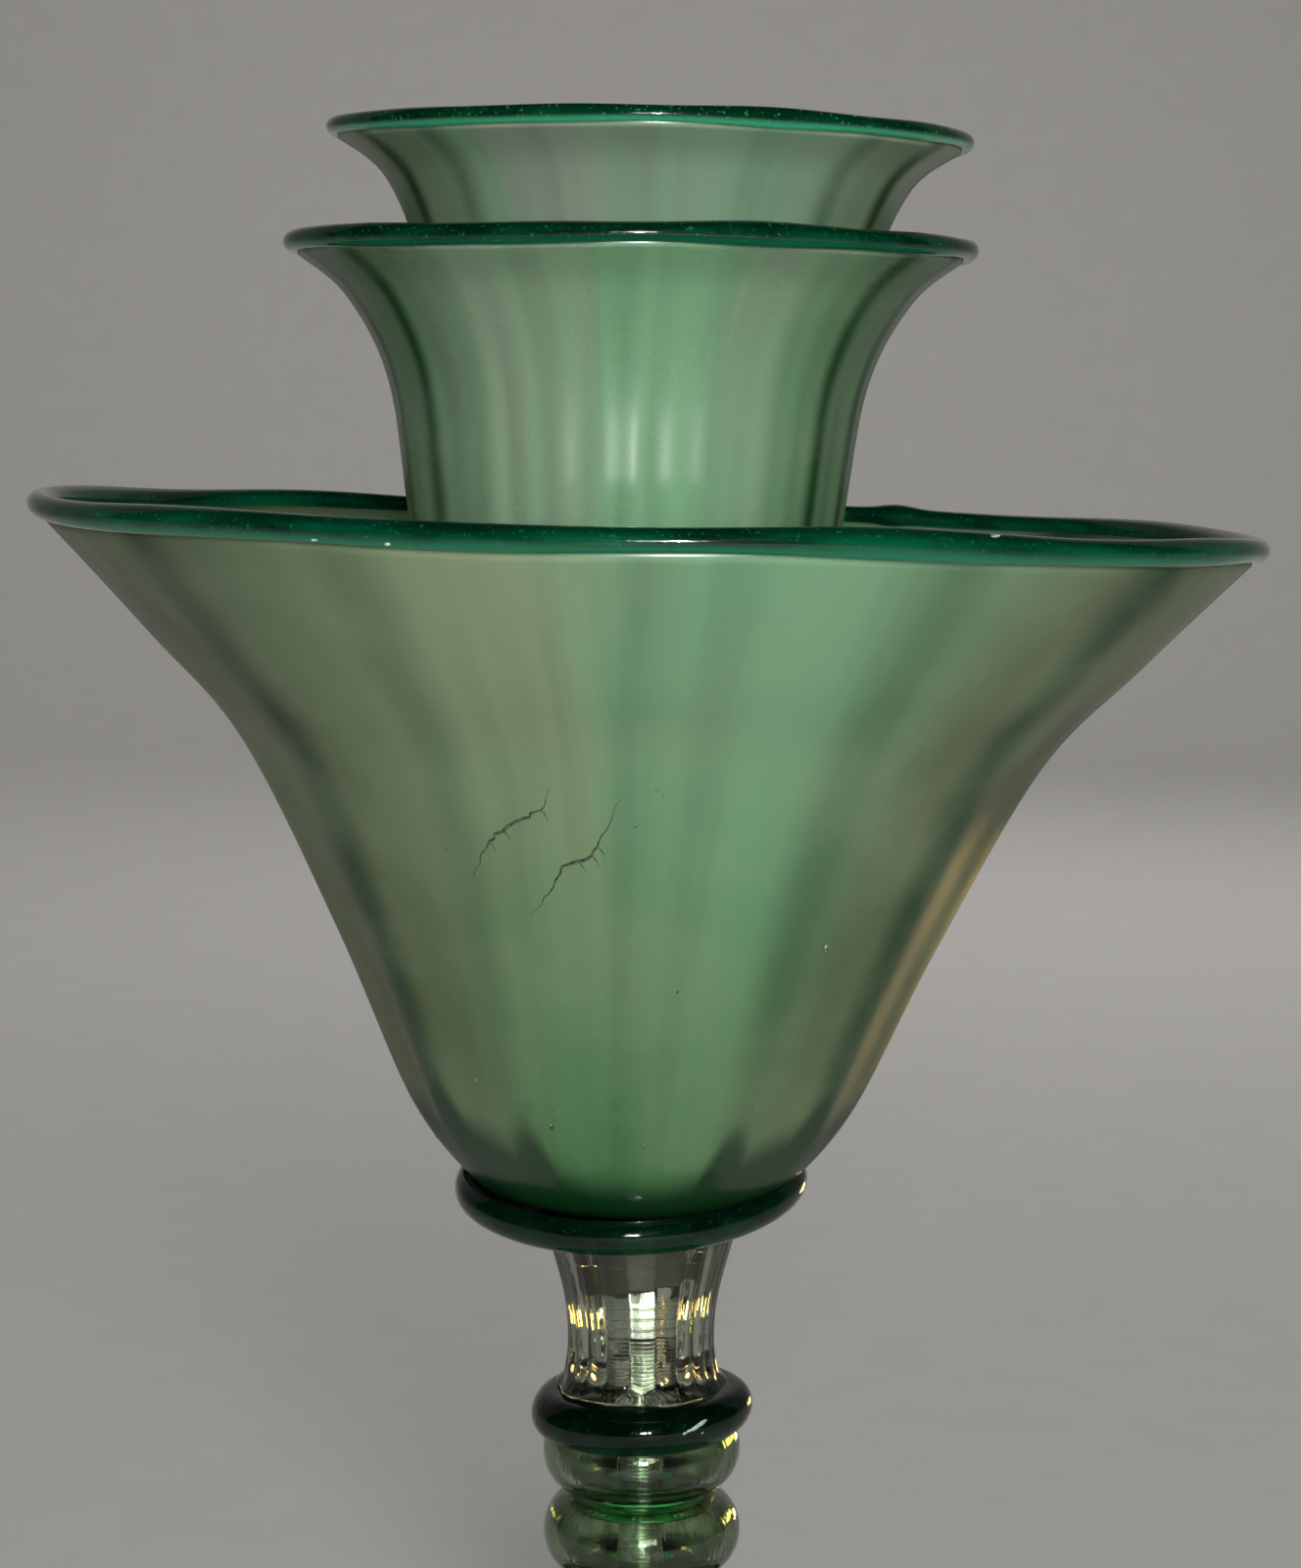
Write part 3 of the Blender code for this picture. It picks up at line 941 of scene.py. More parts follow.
def middle_vase() -> Vessel:
    """The larger trumpet vase and its sizes.

    Returns:
        The vase that stands in the bowl.
    """
    glass = SatinGlass(
        name="satin_green_middle",
        green=tint(134, 188, 144),
        grey=tint(150, 174, 146),
        # painted shade on the vase's left and right sides
        side=tint(98, 130, 96),
        vein=tint(18, 70, 30),
        ribs=20,
        streaks=2.0,
        roughness=0.28,
        bloom=0.28,
    )
    return Vessel(
        name="middle_vase",
        body=Body.MIDDLE,
        stance=Stance(-0.0056, 0.1517, 0.9),
        line=(
            (0.0240, 0.0),
            (0.0280, 0.0120),
            (0.0335, 0.0400),
            (0.0420, 0.0920),
            (0.0490, 0.1490),
            (0.0536, 0.1754),
            (0.0629, 0.1927),
            (0.0735, 0.2014),
        ),
        wall=0.0024,
        floor=0.0215,
        ribs=20,
        rib_height=0.00030,
        sway=Sway(((2, 0.0003, 0.0002, 30.0), (5, 0.0002, 0.0002, 10.0))),
        trail_major=0.0746,
        trail_minor=0.0023,
        trail_height=0.2040,
        glass=glass,
        thread=EmeraldGlass("emerald_middle_lip", tint(2, 38, 22), tint(4, 72, 46), underside_glow_share=0.45),
        ripple_height=0.00013,
        socket=0.0162,
        socket_depth=0.0175,
    )


def top_vase() -> Vessel:
    """The smaller trumpet vase and its sizes.

    Returns:
        The vase that stands in the larger one.
    """
    glass = SatinGlass(
        name="satin_green_top",
        green=tint(132, 172, 140),
        grey=tint(150, 164, 146),
        # painted shade on the vase's left and right sides
        side=tint(122, 146, 116),
        vein=tint(38, 66, 38),
        ribs=17,
        streaks=1.4,
    )
    return Vessel(
        name="top_vase",
        body=Body.TOP,
        stance=Stance(-0.0034, 0.1737, 1.5),
        line=(
            (0.0220, 0.0),
            (0.0252, 0.0120),
            (0.0302, 0.0400),
            (0.0376, 0.0920),
            (0.0450, 0.1490),
            (0.0497, 0.1765),
            (0.0577, 0.1954),
            (0.0684, 0.2037),
        ),
        wall=0.0024,
        floor=0.0215,
        ribs=17,
        rib_height=0.00035,
        sway=Sway(((2, 0.0003, 0.0002, 50.0), (4, 0.0002, 0.0002, 0.0))),
        trail_major=0.0693,
        trail_minor=0.0019,
        trail_height=0.2060,
        glass=glass,
        # the top lip thread's painted glow underneath is paler and at full share
        thread=EmeraldGlass("emerald_top_lip", thin=tint(70, 190, 140), underside_glow_share=1.0),
        socket=0.0140,
        socket_depth=0.0175,
    )


# ---- Stem ----


def hand_wobble(angle: np.ndarray) -> np.ndarray:
    """How unevenly a pressed edge runs round, about -1.6 to 1.6."""
    return np.sin(3.0 * angle + 0.4) + 0.6 * np.sin(5.0 * angle + 2.0)


def edge_droop(amount: float, at: float, reach: float, lumps: float = 0.0) -> Warp:
    """A warp that lets a disc's edge rise on one side and fall on the other, as hand-pressed glass does.

    Args:
        amount: How far the edge rises at its high side.
        at: Where the high side is, in degrees from the front.
        reach: The disc's radius.
        lumps: How far the edge wanders in and out.

    Returns:
        The warp.
    """

    def droop(rows: Rows) -> Moved:
        """Moves the rows of the disc.

        Args:
            rows: The true disc.

        Returns:
            The moved radii and heights.
        """
        share = rows.skin * np.clip(rows.radius / reach, 0.0, 1.1) ** 3
        turn = rows.angle - FRONT - math.radians(at)
        wobble = hand_wobble(rows.angle)
        up = rows.height + share * (amount * np.cos(turn) + 0.4 * lumps * wobble)
        return rows.radius + share * lumps * wobble, up

    return droop


@dataclass
class StemDisc:
    """A round-edged disc of dark glass between two pieces of the stem."""

    node: str
    edge: float = 0.0255
    bulge: float = 0.0055
    bore: float = 0.0068
    tilt: float = 0.0
    tilt_at: float = 90.0
    # the disc's third colour and its share are its painted glow underneath
    glass: EmeraldGlass = EmeraldGlass(
        "emerald_disc", tint(2, 14, 7), tint(3, 34, 18), tint(12, 74, 42), 0.30, 0.12, 0.45
    )

    def make(self) -> Piece:
        """Presses the disc.

        Returns:
            The piece.
        """
        low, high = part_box(self.node)
        half = (high.z - low.z) / 2
        middle = low.z + half
        rows = skinned(bend_round((self.edge - self.bulge, middle), self.bulge, half, 90.0, -90.0, 24), 1.0)
        rows += plain((self.bore + 0.0005, low.z), (self.bore, low.z + 0.0005))
        rows += plain((self.bore, high.z - 0.0005), (self.bore + 0.0005, high.z))
        warp = edge_droop(self.tilt, self.tilt_at, self.edge, 0.00022)
        piece = turn_up(f"{self.node}_disc", rows, 144, Stance(), warp)
        return BENCH.settle(piece, self.glass.make(), self.node)


@dataclass
class BowlSaucer:
    """The dark disc under the bowl, dished to take the bowl's base."""

    node: str = "bowl_collar"
    major: float = 0.0357
    minor: float = 0.0046
    middle: float = 0.1448
    seat: float = 0.1415
    seat_radius: float = 0.0322
    under: float = 0.1388
    web: float = 0.0240
    bore: float = 0.0098
    shift: float = -0.0025
    front_sag: float = 0.0040
    side_rise: float = 0.0009
    # the saucer's third colour and its share are its painted glow underneath
    glass: EmeraldGlass = EmeraldGlass(
        "emerald_saucer", tint(3, 20, 11), tint(4, 44, 26), tint(12, 80, 50), 0.30, 0.12, 0.50
    )

    def sag(self, rows: Rows) -> Moved:
        """Lets the front of the edge hang, where the glass was softest.

        Args:
            rows: The true saucer.

        Returns:
            The moved radii and heights.
        """
        share = rows.skin * smooth(rows.radius, 0.024, 0.036)
        toward = np.cos(rows.angle - FRONT)
        hang = -0.5 * self.front_sag * (toward + toward**2) + self.side_rise * np.cos(rows.angle)
        wobble = hand_wobble(rows.angle)
        return rows.radius + 0.0003 * share * wobble, rows.height + share * (hang + 0.00015 * wobble)

    def make(self) -> Piece:
        """Presses the saucer.

        Returns:
            The piece.
        """
        rows = skinned(bend_round((self.major, self.middle), self.minor, self.minor, 55.0, -105.0, 28), 1.0)
        rows += [(self.web, self.under, 0.2)]
        rows += plain((self.bore + 0.0006, self.under), (self.bore, self.under + 0.0006))
        rows += plain((self.bore, self.seat - 0.0004), (self.bore + 0.0004, self.seat))
        rows += [(self.seat_radius, self.seat, 0.2), (self.major + 0.0008, self.middle + 0.0006, 0.8)]
        rows += [(self.major + 0.0017, self.middle + 0.0026, 1.0)]
        piece = turn_up("bowl_collar_saucer", rows, 216, Stance(self.shift), self.sag)
        return BENCH.settle(piece, self.glass.make(), self.node)


@dataclass
class Waist:
    """The clear fluted column, pinched in the middle, with what shows inside it."""

    bottom: float = 0.0973
    snug: float = 0.0049  # the glass grips the rod
    sleeve: float = 0.0057
    plug: float = 0.0097
    plug_low: float = 0.1205
    slope: float = 0.21
    flutes: int = 20
    flute_depth: float = 0.00085
    glass: ClearGlass = ClearGlass(
        "clear_waist_glass", tint(200, 208, 188), tint(146, 156, 130), tint(46, 52, 32), 0.015
    )
    line: Profile = (
        (0.0196, 0.0),
        (0.0174, 0.0036),
        (0.0165, 0.0110),
        (0.0174, 0.0208),
        (0.0203, 0.0319),
        (0.0228, 0.0400),
    )

    def flute(self, rows: Rows) -> Moved:
        """Cuts the flutes, each a shallow scoop with a crest between, and lets the foot flow unevenly.

        Args:
            rows: The true column, with heights above its foot.

        Returns:
            The moved radii and heights.
        """
        radius, height, angle = rows.radius, rows.height, rows.angle
        drift = 0.05 * np.sin(2.0 * angle + 0.6) + 0.9 * np.clip(height - 0.015, 0.0, 1.0)
        turn = 0.5 * self.flutes * (angle - FRONT + drift)
        scoop = np.abs(np.cos(turn)) - 0.64
        grow = smooth(height, 0.0012, 0.0055) * (1.0 - 0.3 * smooth(height, 0.034, 0.040))
        foot = 1.0 - smooth(height, 0.0, 0.0045)
        ragged = 0.00045 * np.sin(5.0 * angle + 0.9) + 0.0003 * np.sin(9.0 * angle)
        outside, seat = np.maximum(rows.skin, 0.0), np.maximum(-rows.skin, 0.0)
        moved = radius + outside * (self.flute_depth * grow * scoop + foot * ragged)
        return moved, height + seat * radius * np.cos(angle) * self.slope

    def make_column(self) -> Piece:
        """Draws the column.

        Returns:
            The piece.
        """
        outer = curve_through(self.line, 9)
        top = self.line[-1][1]
        rows = skinned(outer[:-1], 1.0)
        rows += [(outer[-1][0] - 0.0003, top - 0.0004, 1.0), (outer[-1][0] - 0.0009, top, 0.6)]
        seat = self.plug_low + self.plug * self.slope - self.bottom + 0.00005
        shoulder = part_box("waist_bush")[0].z - self.bottom
        hole = self.plug - 0.0001
        rows += plain((self.plug + 0.0006, top), (hole, top - 0.0006))
        rows += [(hole, seat + 0.0040, -0.5), (hole, seat, -1.0), (self.sleeve, seat, -1.0)]
        rows += plain((self.sleeve, shoulder), (self.snug, shoulder - 0.0003), (self.snug, 0.5 * shoulder))
        rows += plain((self.snug, 0.0006), (self.snug + 0.0006, 0.0))
        rows += [(self.line[0][0] - 0.0006, 0.0, 0.8)]
        piece = turn_up("waist_column", rows, 288, Stance(z=self.bottom), self.flute)
        return BENCH.settle(piece, self.glass.make(), "waist")

    def make_bush(self, steel: Paint) -> Piece:
        """Turns the smooth sleeve on the rod.

        Args:
            steel: Its finish.

        Returns:
            The piece.
        """
        low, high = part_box("waist_bush")
        outer, inner = self.sleeve + 0.0001, 0.0050
        rows = plain((inner, low.z + 0.0003), (inner + 0.0003, low.z), (outer - 0.0005, low.z))
        rows += plain((outer, low.z + 0.0005))
        for share in (0.24, 0.52, 0.80):
            z = low.z + share * (high.z - low.z)
            rows += plain((outer, z - 0.0004), (outer - 0.00025, z - 0.0001))
            rows += plain((outer - 0.00025, z + 0.0001), (outer, z + 0.0004))
        rows += plain((outer, high.z - 0.0005), (outer - 0.0005, high.z), (inner + 0.0003, high.z))
        rows += plain((inner, high.z - 0.0003))
        piece = turn_up("waist_sleeve", rows, 72)
        crisp(piece)
        return BENCH.settle(piece, steel, "waist_bush")

    def make_plug(self, rubber: Paint) -> Piece:
        """Cuts the plug in the top of the bore, slanting below.

        Args:
            rubber: Its finish.

        Returns:
            The piece.
        """
        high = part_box("waist_plug")[1]
        outer, inner = self.plug, 0.0053

        def slant(rows: Rows) -> Moved:
            """Slants the lower end."""
            return rows.radius, rows.height + rows.skin * rows.radius * np.cos(rows.angle) * self.slope

        start = self.plug_low + outer * self.slope
        rows = [(inner, start + 0.0003, 1.0), (inner + 0.0003, start, 1.0), (outer - 0.0004, start, 1.0)]
        rows += [(outer, start + 0.0004, 1.0), (outer, start + 0.0030, 0.8)]
        for share in (0.45, 0.65, 0.85):
            z = start + share * (high.z - start)
            rows += [(outer - 0.0001, z - 0.0007, 0.3 * (1 - share)), (outer, z, 0.3 * (1 - share))]
        rows += plain((outer, high.z - 0.0005), (outer - 0.0005, high.z))
        rows += plain((inner + 0.0003, high.z), (inner, high.z - 0.0003))
        piece = turn_up("waist_plug_rubber", rows, 72, Stance(), slant)
        crisp(piece)
        return BENCH.settle(piece, rubber, "waist_plug")


@dataclass
class Beads:
    """The hollow blown beads of the stem."""

    nodes: tuple[str, ...] = ("knop_lower", "knop_middle", "knop_upper")
    edge: float = 0.0227
    bulge: float = 0.0072
    wall: float = 0.0030
    mouth: float = 0.0080
    glass: ClearGlass = ClearGlass(
        "clear_bead_glass", tint(204, 218, 194), tint(156, 182, 148), tint(62, 88, 56)
    )

    def make(self) -> list[Piece]:
        """Blows the beads, each a little different.

        Returns:
            The pieces.
        """
        glass = self.glass.make()
        made = []
        for number, node in enumerate(self.nodes):
            low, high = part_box(node)
            half = (high.z - low.z) / 2
            centre = (self.edge - self.bulge, low.z + half)
            rows = skinned(bend_round(centre, self.bulge, half, 90.0, -90.0, 28), 1.0)
            mouth, floor, roof = self.mouth, low.z + self.wall, high.z - self.wall
            rows += plain((mouth + 0.0006, low.z), (mouth, low.z + 0.0006), (mouth, floor - 0.0005))
            rows += plain((mouth + 0.0005, floor))
            inside = bend_round(centre, self.bulge - self.wall, half - self.wall, -90.0, 90.0, 20)
            rows += skinned(inside, 0.6)
            rows += plain((mouth + 0.0005, roof), (mouth, roof + 0.0005), (mouth, high.z - 0.0006))
            rows += plain((mouth + 0.0006, high.z))
            warp = edge_droop(0.0002 * (number - 1), 40.0 * number, self.edge, 0.00016)
            piece = turn_up(f"{node}_bead", rows, 144, Stance(), warp)
            made.append(BENCH.settle(piece, glass, node))
        return made


@dataclass
class TieRod:
    """The threaded rod through the stem, with its nuts and washers."""

    radius: float = 0.0050
    pitch: float = 0.0010
    thread_depth: float = 0.00055
    rows_to_a_turn: int = 8
    flats: float = 0.0140
    washer: float = 0.0100

    def make_rod(self, steel: Paint) -> Piece:
        """Cuts the thread as one helix from end to end.

        Args:
            steel: Its finish.

        Returns:
            The piece.
        """
        low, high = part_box("tie_rod")
        rows = plain((0.0, low.z), (self.radius - 0.0010, low.z))
        z = low.z + 0.0006
        while z < high.z - 0.0006:
            rows.append((self.radius, z, 1.0))
            z += self.pitch / self.rows_to_a_turn
        rows += plain((self.radius - 0.0010, high.z), (0.0, high.z))

        def cut(rows: Rows) -> Moved:
            """Cuts a rounded vee along the helix.

            Args:
                rows: The blank, with skin 1 where it is threaded.

            Returns:
                The cut radii, and the heights as they were.
            """
            phase = rows.height / self.pitch - rows.angle / math.tau
            vee = np.abs(2.0 * (phase - np.floor(phase)) - 1.0)
            return rows.radius - rows.skin * self.thread_depth * smooth(vee, 0.12, 0.88), rows.height

        piece = turn_up("tie_rod_thread", rows, 24, Stance(), cut)
        return BENCH.settle(piece, steel, "tie_rod")

    def make_nut(self, node: str, steel: Paint) -> Piece:
        """Cuts a hexagon nut, chamfered at both faces.

        Args:
            node: Its CAD node.
            steel: Its finish.

        Returns:
            The piece.
        """
        low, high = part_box(node)
        bore, corner = self.radius + 0.0003, self.flats / math.sqrt(3.0)

        def hexagon(rows: Rows) -> Moved:
            """Trims the turned blank to six flats.

            Args:
                rows: The blank, with skin 1 on the outside.

            Returns:
                The trimmed radii, and the heights as they were.
            """
            sixth = math.pi / 3.0
            flat = 0.5 * self.flats / np.cos(np.mod(rows.angle, sixth) - sixth / 2.0)
            return np.where(rows.skin > 0.5, np.minimum(rows.radius, flat), rows.radius), rows.height

        half = 0.5 * self.flats
        outside = [(0.96 * half, low.z), (half, low.z + 0.0002), (corner, low.z + 0.0008)]
        outside += [(corner, high.z - 0.0008), (half, high.z - 0.0002), (0.96 * half, high.z)]
        rows = plain((bore, low.z + 0.0006), (bore + 0.0006, low.z)) + skinned(outside, 1.0)
        rows += plain((bore + 0.0006, high.z), (bore, high.z - 0.0006))
        piece = turn_up(f"{node}_hexagon", rows, 96, Stance(), hexagon)
        crisp(piece, 25.0)
        return BENCH.settle(piece, steel, node)


@dataclass
class FlatRings:
    """The flat rings on the rod: washers, gaskets and the thin packing between the pieces of the stem."""

    hole: float = 0.0053
    packing: float = 0.0145
    squeeze: float = 0.0002

    def make(self, node: str, outer: float, finish: Paint, slot: Slot, soft: float = 0.0) -> Piece:
        """Stamps one ring with eased edges.

        Args:
            node: Its CAD node.
            outer: Its outer radius.
            finish: Its finish.
            slot: The record's slot. Not used.
            soft: How far its edge bulges, for a squeezed ring.

        Returns:
            The piece.
        """
        low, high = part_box(node)
        ease = 0.22 * (high.z - low.z)
        side, middle = outer - soft, (low.z + high.z) / 2
        rows = plain((self.hole, low.z + ease), (self.hole + ease, low.z), (side - ease, low.z))
        rows += [(side, low.z + ease, 0.3), (outer, middle, 1.0), (side, high.z - ease, 0.3)]
        rows += plain((side - ease, high.z), (self.hole + ease, high.z), (self.hole, high.z - ease))
        piece = turn_up(f"{node}_ring", rows, 96, Stance(), edge_droop(0.0, 0.0, outer, 0.5 * soft))
        if soft == 0.0:
            crisp(piece, 25.0)
        return BENCH.settle(piece, finish, node)


@dataclass
class Foot:
    """The domed foot of clear glass with a dark thread round its edge."""

    trail_major: float = 0.0725
    trail_minor: float = 0.0025
    ground: float = 0.00035
    neck: float = 0.0226
    seat: float = 0.0130
    wall: float = 0.0038
    bore: float = 0.0068
    pad: float = 0.0130
    ribs: int = 18
    rib_height: float = 0.0004
    glass: ClearGlass = ClearGlass(
        "clear_foot_glass", tint(206, 228, 204), tint(172, 206, 174), tint(120, 156, 118)
    )
    line: Profile = (
        (0.0695, 0.0046),
        (0.0580, 0.0069),
        (0.0420, 0.0105),
        (0.0260, 0.0160),
        (0.0155, 0.0226),
    )

    def rib(self, rows: Rows) -> Moved:
        """Raises soft ribs that fade at the neck and the edge.

        Args:
            rows: The true foot.

        Returns:
            The radii as they were, and the moved heights.
        """
        grow = smooth(rows.radius, 0.017, 0.030) * (1.0 - smooth(rows.radius, 0.060, 0.068))
        wave = np.cos(self.ribs * (rows.angle - FRONT))
        return rows.radius, rows.height + rows.skin * self.rib_height * grow * wave

    def make_dome(self) -> Piece:
        """Spins the foot out of one gather.

        Returns:
            The piece.
        """
        upper = curve_through(self.line, 9)
        lower = [(radius, height - self.wall) for radius, height in upper]
        rows = skinned(upper[::-1], 1.0)
        rows += skinned([point for point in lower if point[1] < self.seat - 0.001], 0.4)
        rows += plain((self.pad + 0.0004, self.seat - 0.0004), (self.pad, self.seat))
        rows += plain((self.bore + 0.0004, self.seat), (self.bore, self.seat + 0.0004))
        rows += plain((self.bore, self.neck - 0.0004), (self.bore + 0.0004, self.neck))
        piece = turn_up("foot_dome", rows, 288, Stance(), self.rib)
        return BENCH.settle(piece, self.glass.make(), "foot")

    def make_thread(self) -> Piece:
        """Winds the dark thread round the edge, ground flat below.

        Returns:
            The piece.
        """
        thick = self.trail_minor
        middle = thick - self.ground
        flat = math.degrees(math.acos(middle / thick))
        ring = bend_round((self.trail_major, middle), thick, thick, flat - 90.0, 270.0 - flat, 28)

        def wind(rows: Rows) -> Moved:
            """Lets the thread run thick and thin, but never below the table.

            Args:
                rows: The true ring.

            Returns:
                The moved radii and heights.
            """
            swell = 0.05 * np.sin(5.0 * rows.angle + 0.3) + 0.04 * np.sin(12.0 * rows.angle)
            swell = swell * smooth(rows.height, 0.0, middle)
            out = rows.radius + (rows.radius - self.trail_major) * swell
            return out, rows.height + (rows.height - middle) * swell

        piece = turn_up("foot_edge_thread", skinned(ring, 0.0), 288, Stance(), wind)
        thread = EmeraldGlass("emerald_foot_edge", underside_glow_share=0.30)
        return BENCH.settle(piece, thread.make(), "foot_rim")


# ---- Wear ----


def flake(
    work: bmesh.types.BMesh,
    size: float,
    middle: Vector,
    along: Vector,
    form: tuple[float, float, float],
    draw: random.Random,
) -> None:
    """Adds one rough flake of broken glass.

    Args:
        work: The mesh that it joins.
        size: Its radius.
        middle: Where it lies.
        along: The way that it is stretched.
        form: Its share of the radius, its stretch, and how rough it is.
        draw: The random draw that roughens it.
    """
    share, stretch, rough = form
    for vert in bmesh.ops.create_icosphere(work, subdivisions=2, radius=size)["verts"]:
        jag = 1.0 + draw.uniform(-rough, rough)
        vert.co = vert.co * jag * share + along * vert.co.dot(along) * stretch + middle


@dataclass
class Wear:
    """Two cracks in the bowl's wall, seeds trapped in the glass, and chips on the dark edges."""

    bowl: Vessel
    seed: int = 7
    seed_stretch: float = 1.5
    jag: float = 0.35  # degrees that a crack strays by
    branches: int = 3
    crack_width: float = 0.0011
    branch_width: float = 0.0006
    crack_sunk: float = 0.0002
    crack_proud: float = 0.00016
    crack_deep: float = 0.0007
    pale: Paint | None = None
    left_crack: Profile = (
        (-25.6, 0.0807), (-23.0, 0.0870), (-20.9, 0.0903), (-16.5, 0.0943), (-14.0, 0.0962), (-12.0, 0.1015)
    )
    right_crack: Profile = (
        (-17.2, 0.0731), (-14.1, 0.0783), (-11.4, 0.0842), (-7.0, 0.0871), (-5.5, 0.0911), (-2.8, 0.0994)
    )

    def sliver(self, path: list[tuple[float, float]], width: float, work: bmesh.types.BMesh) -> None:
        """Adds a thin flake of broken glass that follows a path on the bowl.

        Args:
            path: Turn and height of each point.
            width: Its greatest width.
            work: The mesh that it joins.
        """
        rings = []
        for i, (turn, height) in enumerate(path):
            share = math.sin(math.pi * (i + 0.15) / (len(path) - 0.7))
            half = max(0.12, share) * width / 2
            middle = self.bowl.on_wall(turn, height)
            ahead = self.bowl.on_wall(*path[min(i + 1, len(path) - 1)])
            behind = self.bowl.on_wall(*path[max(i - 1, 0)])
            along = (ahead - behind).normalized()
            out = Vector((middle.x, middle.y, 0.0)).normalized()
            side = along.cross(out).normalized() * half
            sunk = middle - out * self.crack_sunk
            ring = (sunk + side, middle + out * self.crack_proud, sunk - side, middle - out * self.crack_deep)
            rings.append([work.verts.new(point) for point in ring])
        for first, second in zip(rings, rings[1:]):
            for k in range(4):
                work.faces.new((first[k], first[(k + 1) % 4], second[(k + 1) % 4], second[k]))
        work.faces.new(rings[0])
        work.faces.new(rings[-1][::-1])

    def make_cracks(self) -> Piece:
        """Breaks the two jagged lines in the front of the bowl.

        Returns:
            The piece.
        """
        draw = random.Random(self.seed)
        work = bmesh.new()
        for crack in (self.left_crack, self.right_crack):
            path = []
            for (turn, height), (next_turn, next_height) in zip(crack, crack[1:]):
                for step in range(4):
                    t = step / 4
                    stray = draw.uniform(-self.jag, self.jag)
                    rise = height + (next_height - height) * t - 0.0006 * stray
                    path.append((turn + (next_turn - turn) * t + stray, rise))
            path.append(crack[-1])
            self.sliver(path, self.crack_width, work)
            for _ in range(self.branches):
                at = draw.randrange(3, len(path) - 4)
                turn, height = path[at]
                reach = draw.uniform(0.9, 1.6)
                bend, tip = (turn + 0.5 * reach, height - 0.0006), (turn + reach, height - 0.0021)
                self.sliver([(turn, height), bend, tip], self.branch_width, work)
        bmesh.ops.recalc_face_normals(work, faces=work.faces)
        piece = cast("bowl_cracks", work, self.bowl.stance)
        finish = BrokenGlass("broken_dark_glass", tint(34, 52, 36), tint(84, 102, 80))
        return BENCH.settle(piece, finish.make())

    def make_seeds(self) -> Piece:
        """Scatters the small bubbles that broke at the bowl's surface.

        Returns:
            The piece.
        """
        draw = random.Random(self.seed + 1)
        spots = [(-19.3, 0.0243, 0.00060), (34.0, 0.0667, 0.00080)]
        ranges = ((-180.0, 180.0), (0.012, 0.138), (0.00018, 0.00034))
        spots += [tuple(draw.uniform(*pair) for pair in ranges) for _ in range(44)]
        work = bmesh.new()
        for turn, height, size in spots:
            made = bmesh.ops.create_icosphere(work, subdivisions=2, radius=size)
            middle = self.bowl.on_wall(turn, height, -0.25 * size)
            for vert in made["verts"]:
                vert.co = Vector((vert.co.x, vert.co.y, vert.co.z * self.seed_stretch)) + middle
        piece = cast("bowl_seeds", work, self.bowl.stance, soft=True)
        finish = BrokenGlass("seed_glass", tint(40, 58, 40), tint(120, 140, 118), 0.25)
        return BENCH.settle(piece, finish.make())

    def make_chips(self) -> Piece:
        """Knocks small pale chips out of the bowl's lip.

        Returns:
            The piece.
        """
        bowl, draw = self.bowl, random.Random(self.seed + 2)
        spots = [(28.4, 1.0, 0.0012), (-21.4, -0.75, 0.0005), (-28.0, -0.8, 0.0005), (-43.0, -0.7, 0.0006)]
        ranges = ((60.0, 300.0), (-0.9, 0.8), (0.0004, 0.0008))
        spots += [tuple(draw.uniform(*pair) for pair in ranges) for _ in range(9)]
        work = bmesh.new()
        for turn, roll, size in spots:
            angle = FRONT + math.radians(turn)
            deep = bowl.trail_minor - 0.25 * size
            radius = bowl.trail_major + float(bowl.sway.spread(np.array(angle))) + deep * math.cos(roll)
            rise = bowl.trail_height + float(bowl.sway.lift(np.array(angle))) + deep * math.sin(roll)
            along = Vector((-math.sin(angle), math.cos(angle), 0.0))
            flake(work, size, polar(angle, radius, rise), along, (0.62, 0.9, 0.28), draw)
        self.pale = BrokenGlass("pale_chip_glass", tint(150, 176, 158), tint(222, 232, 224)).make()
        return BENCH.settle(cast("bowl_lip_chips", work, bowl.stance), self.pale)

    def make_disc_scar(self, disc: StemDisc) -> Piece:
        """Knocks a slanting pale scar, with small flakes beside it, out of a disc's front edge.

        Args:
            disc: The disc that it is on.

        Returns:
            The piece.
        """
        draw = random.Random(self.seed + 3)
        low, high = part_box(disc.node)
        half = (high.z - low.z) / 2
        flakes = [(29.0 + 2.0 * i, 0.34 + 0.055 * i, 0.0017 - 0.00022 * abs(i)) for i in range(-3, 4)]
        flakes += [(24.0, 0.10, 0.0004), (36.0, 0.72, 0.0004), (33.0, 0.05, 0.0003)]
        work = bmesh.new()
        for turn, roll, size in flakes:
            angle = FRONT + math.radians(turn)
            radius = disc.edge - disc.bulge + (disc.bulge - 0.30 * size) * math.cos(roll)
            rise = low.z + half + (half - 0.30 * size) * math.sin(roll)
            along = Vector((-math.sin(angle), math.cos(angle), 0.35)).normalized()
            flake(work, size, polar(angle, radius, rise), along, (0.45, 0.8, 0.30), draw)
        return BENCH.settle(cast("waist_collar_scar", work), self.pale)


# ---- Room ----


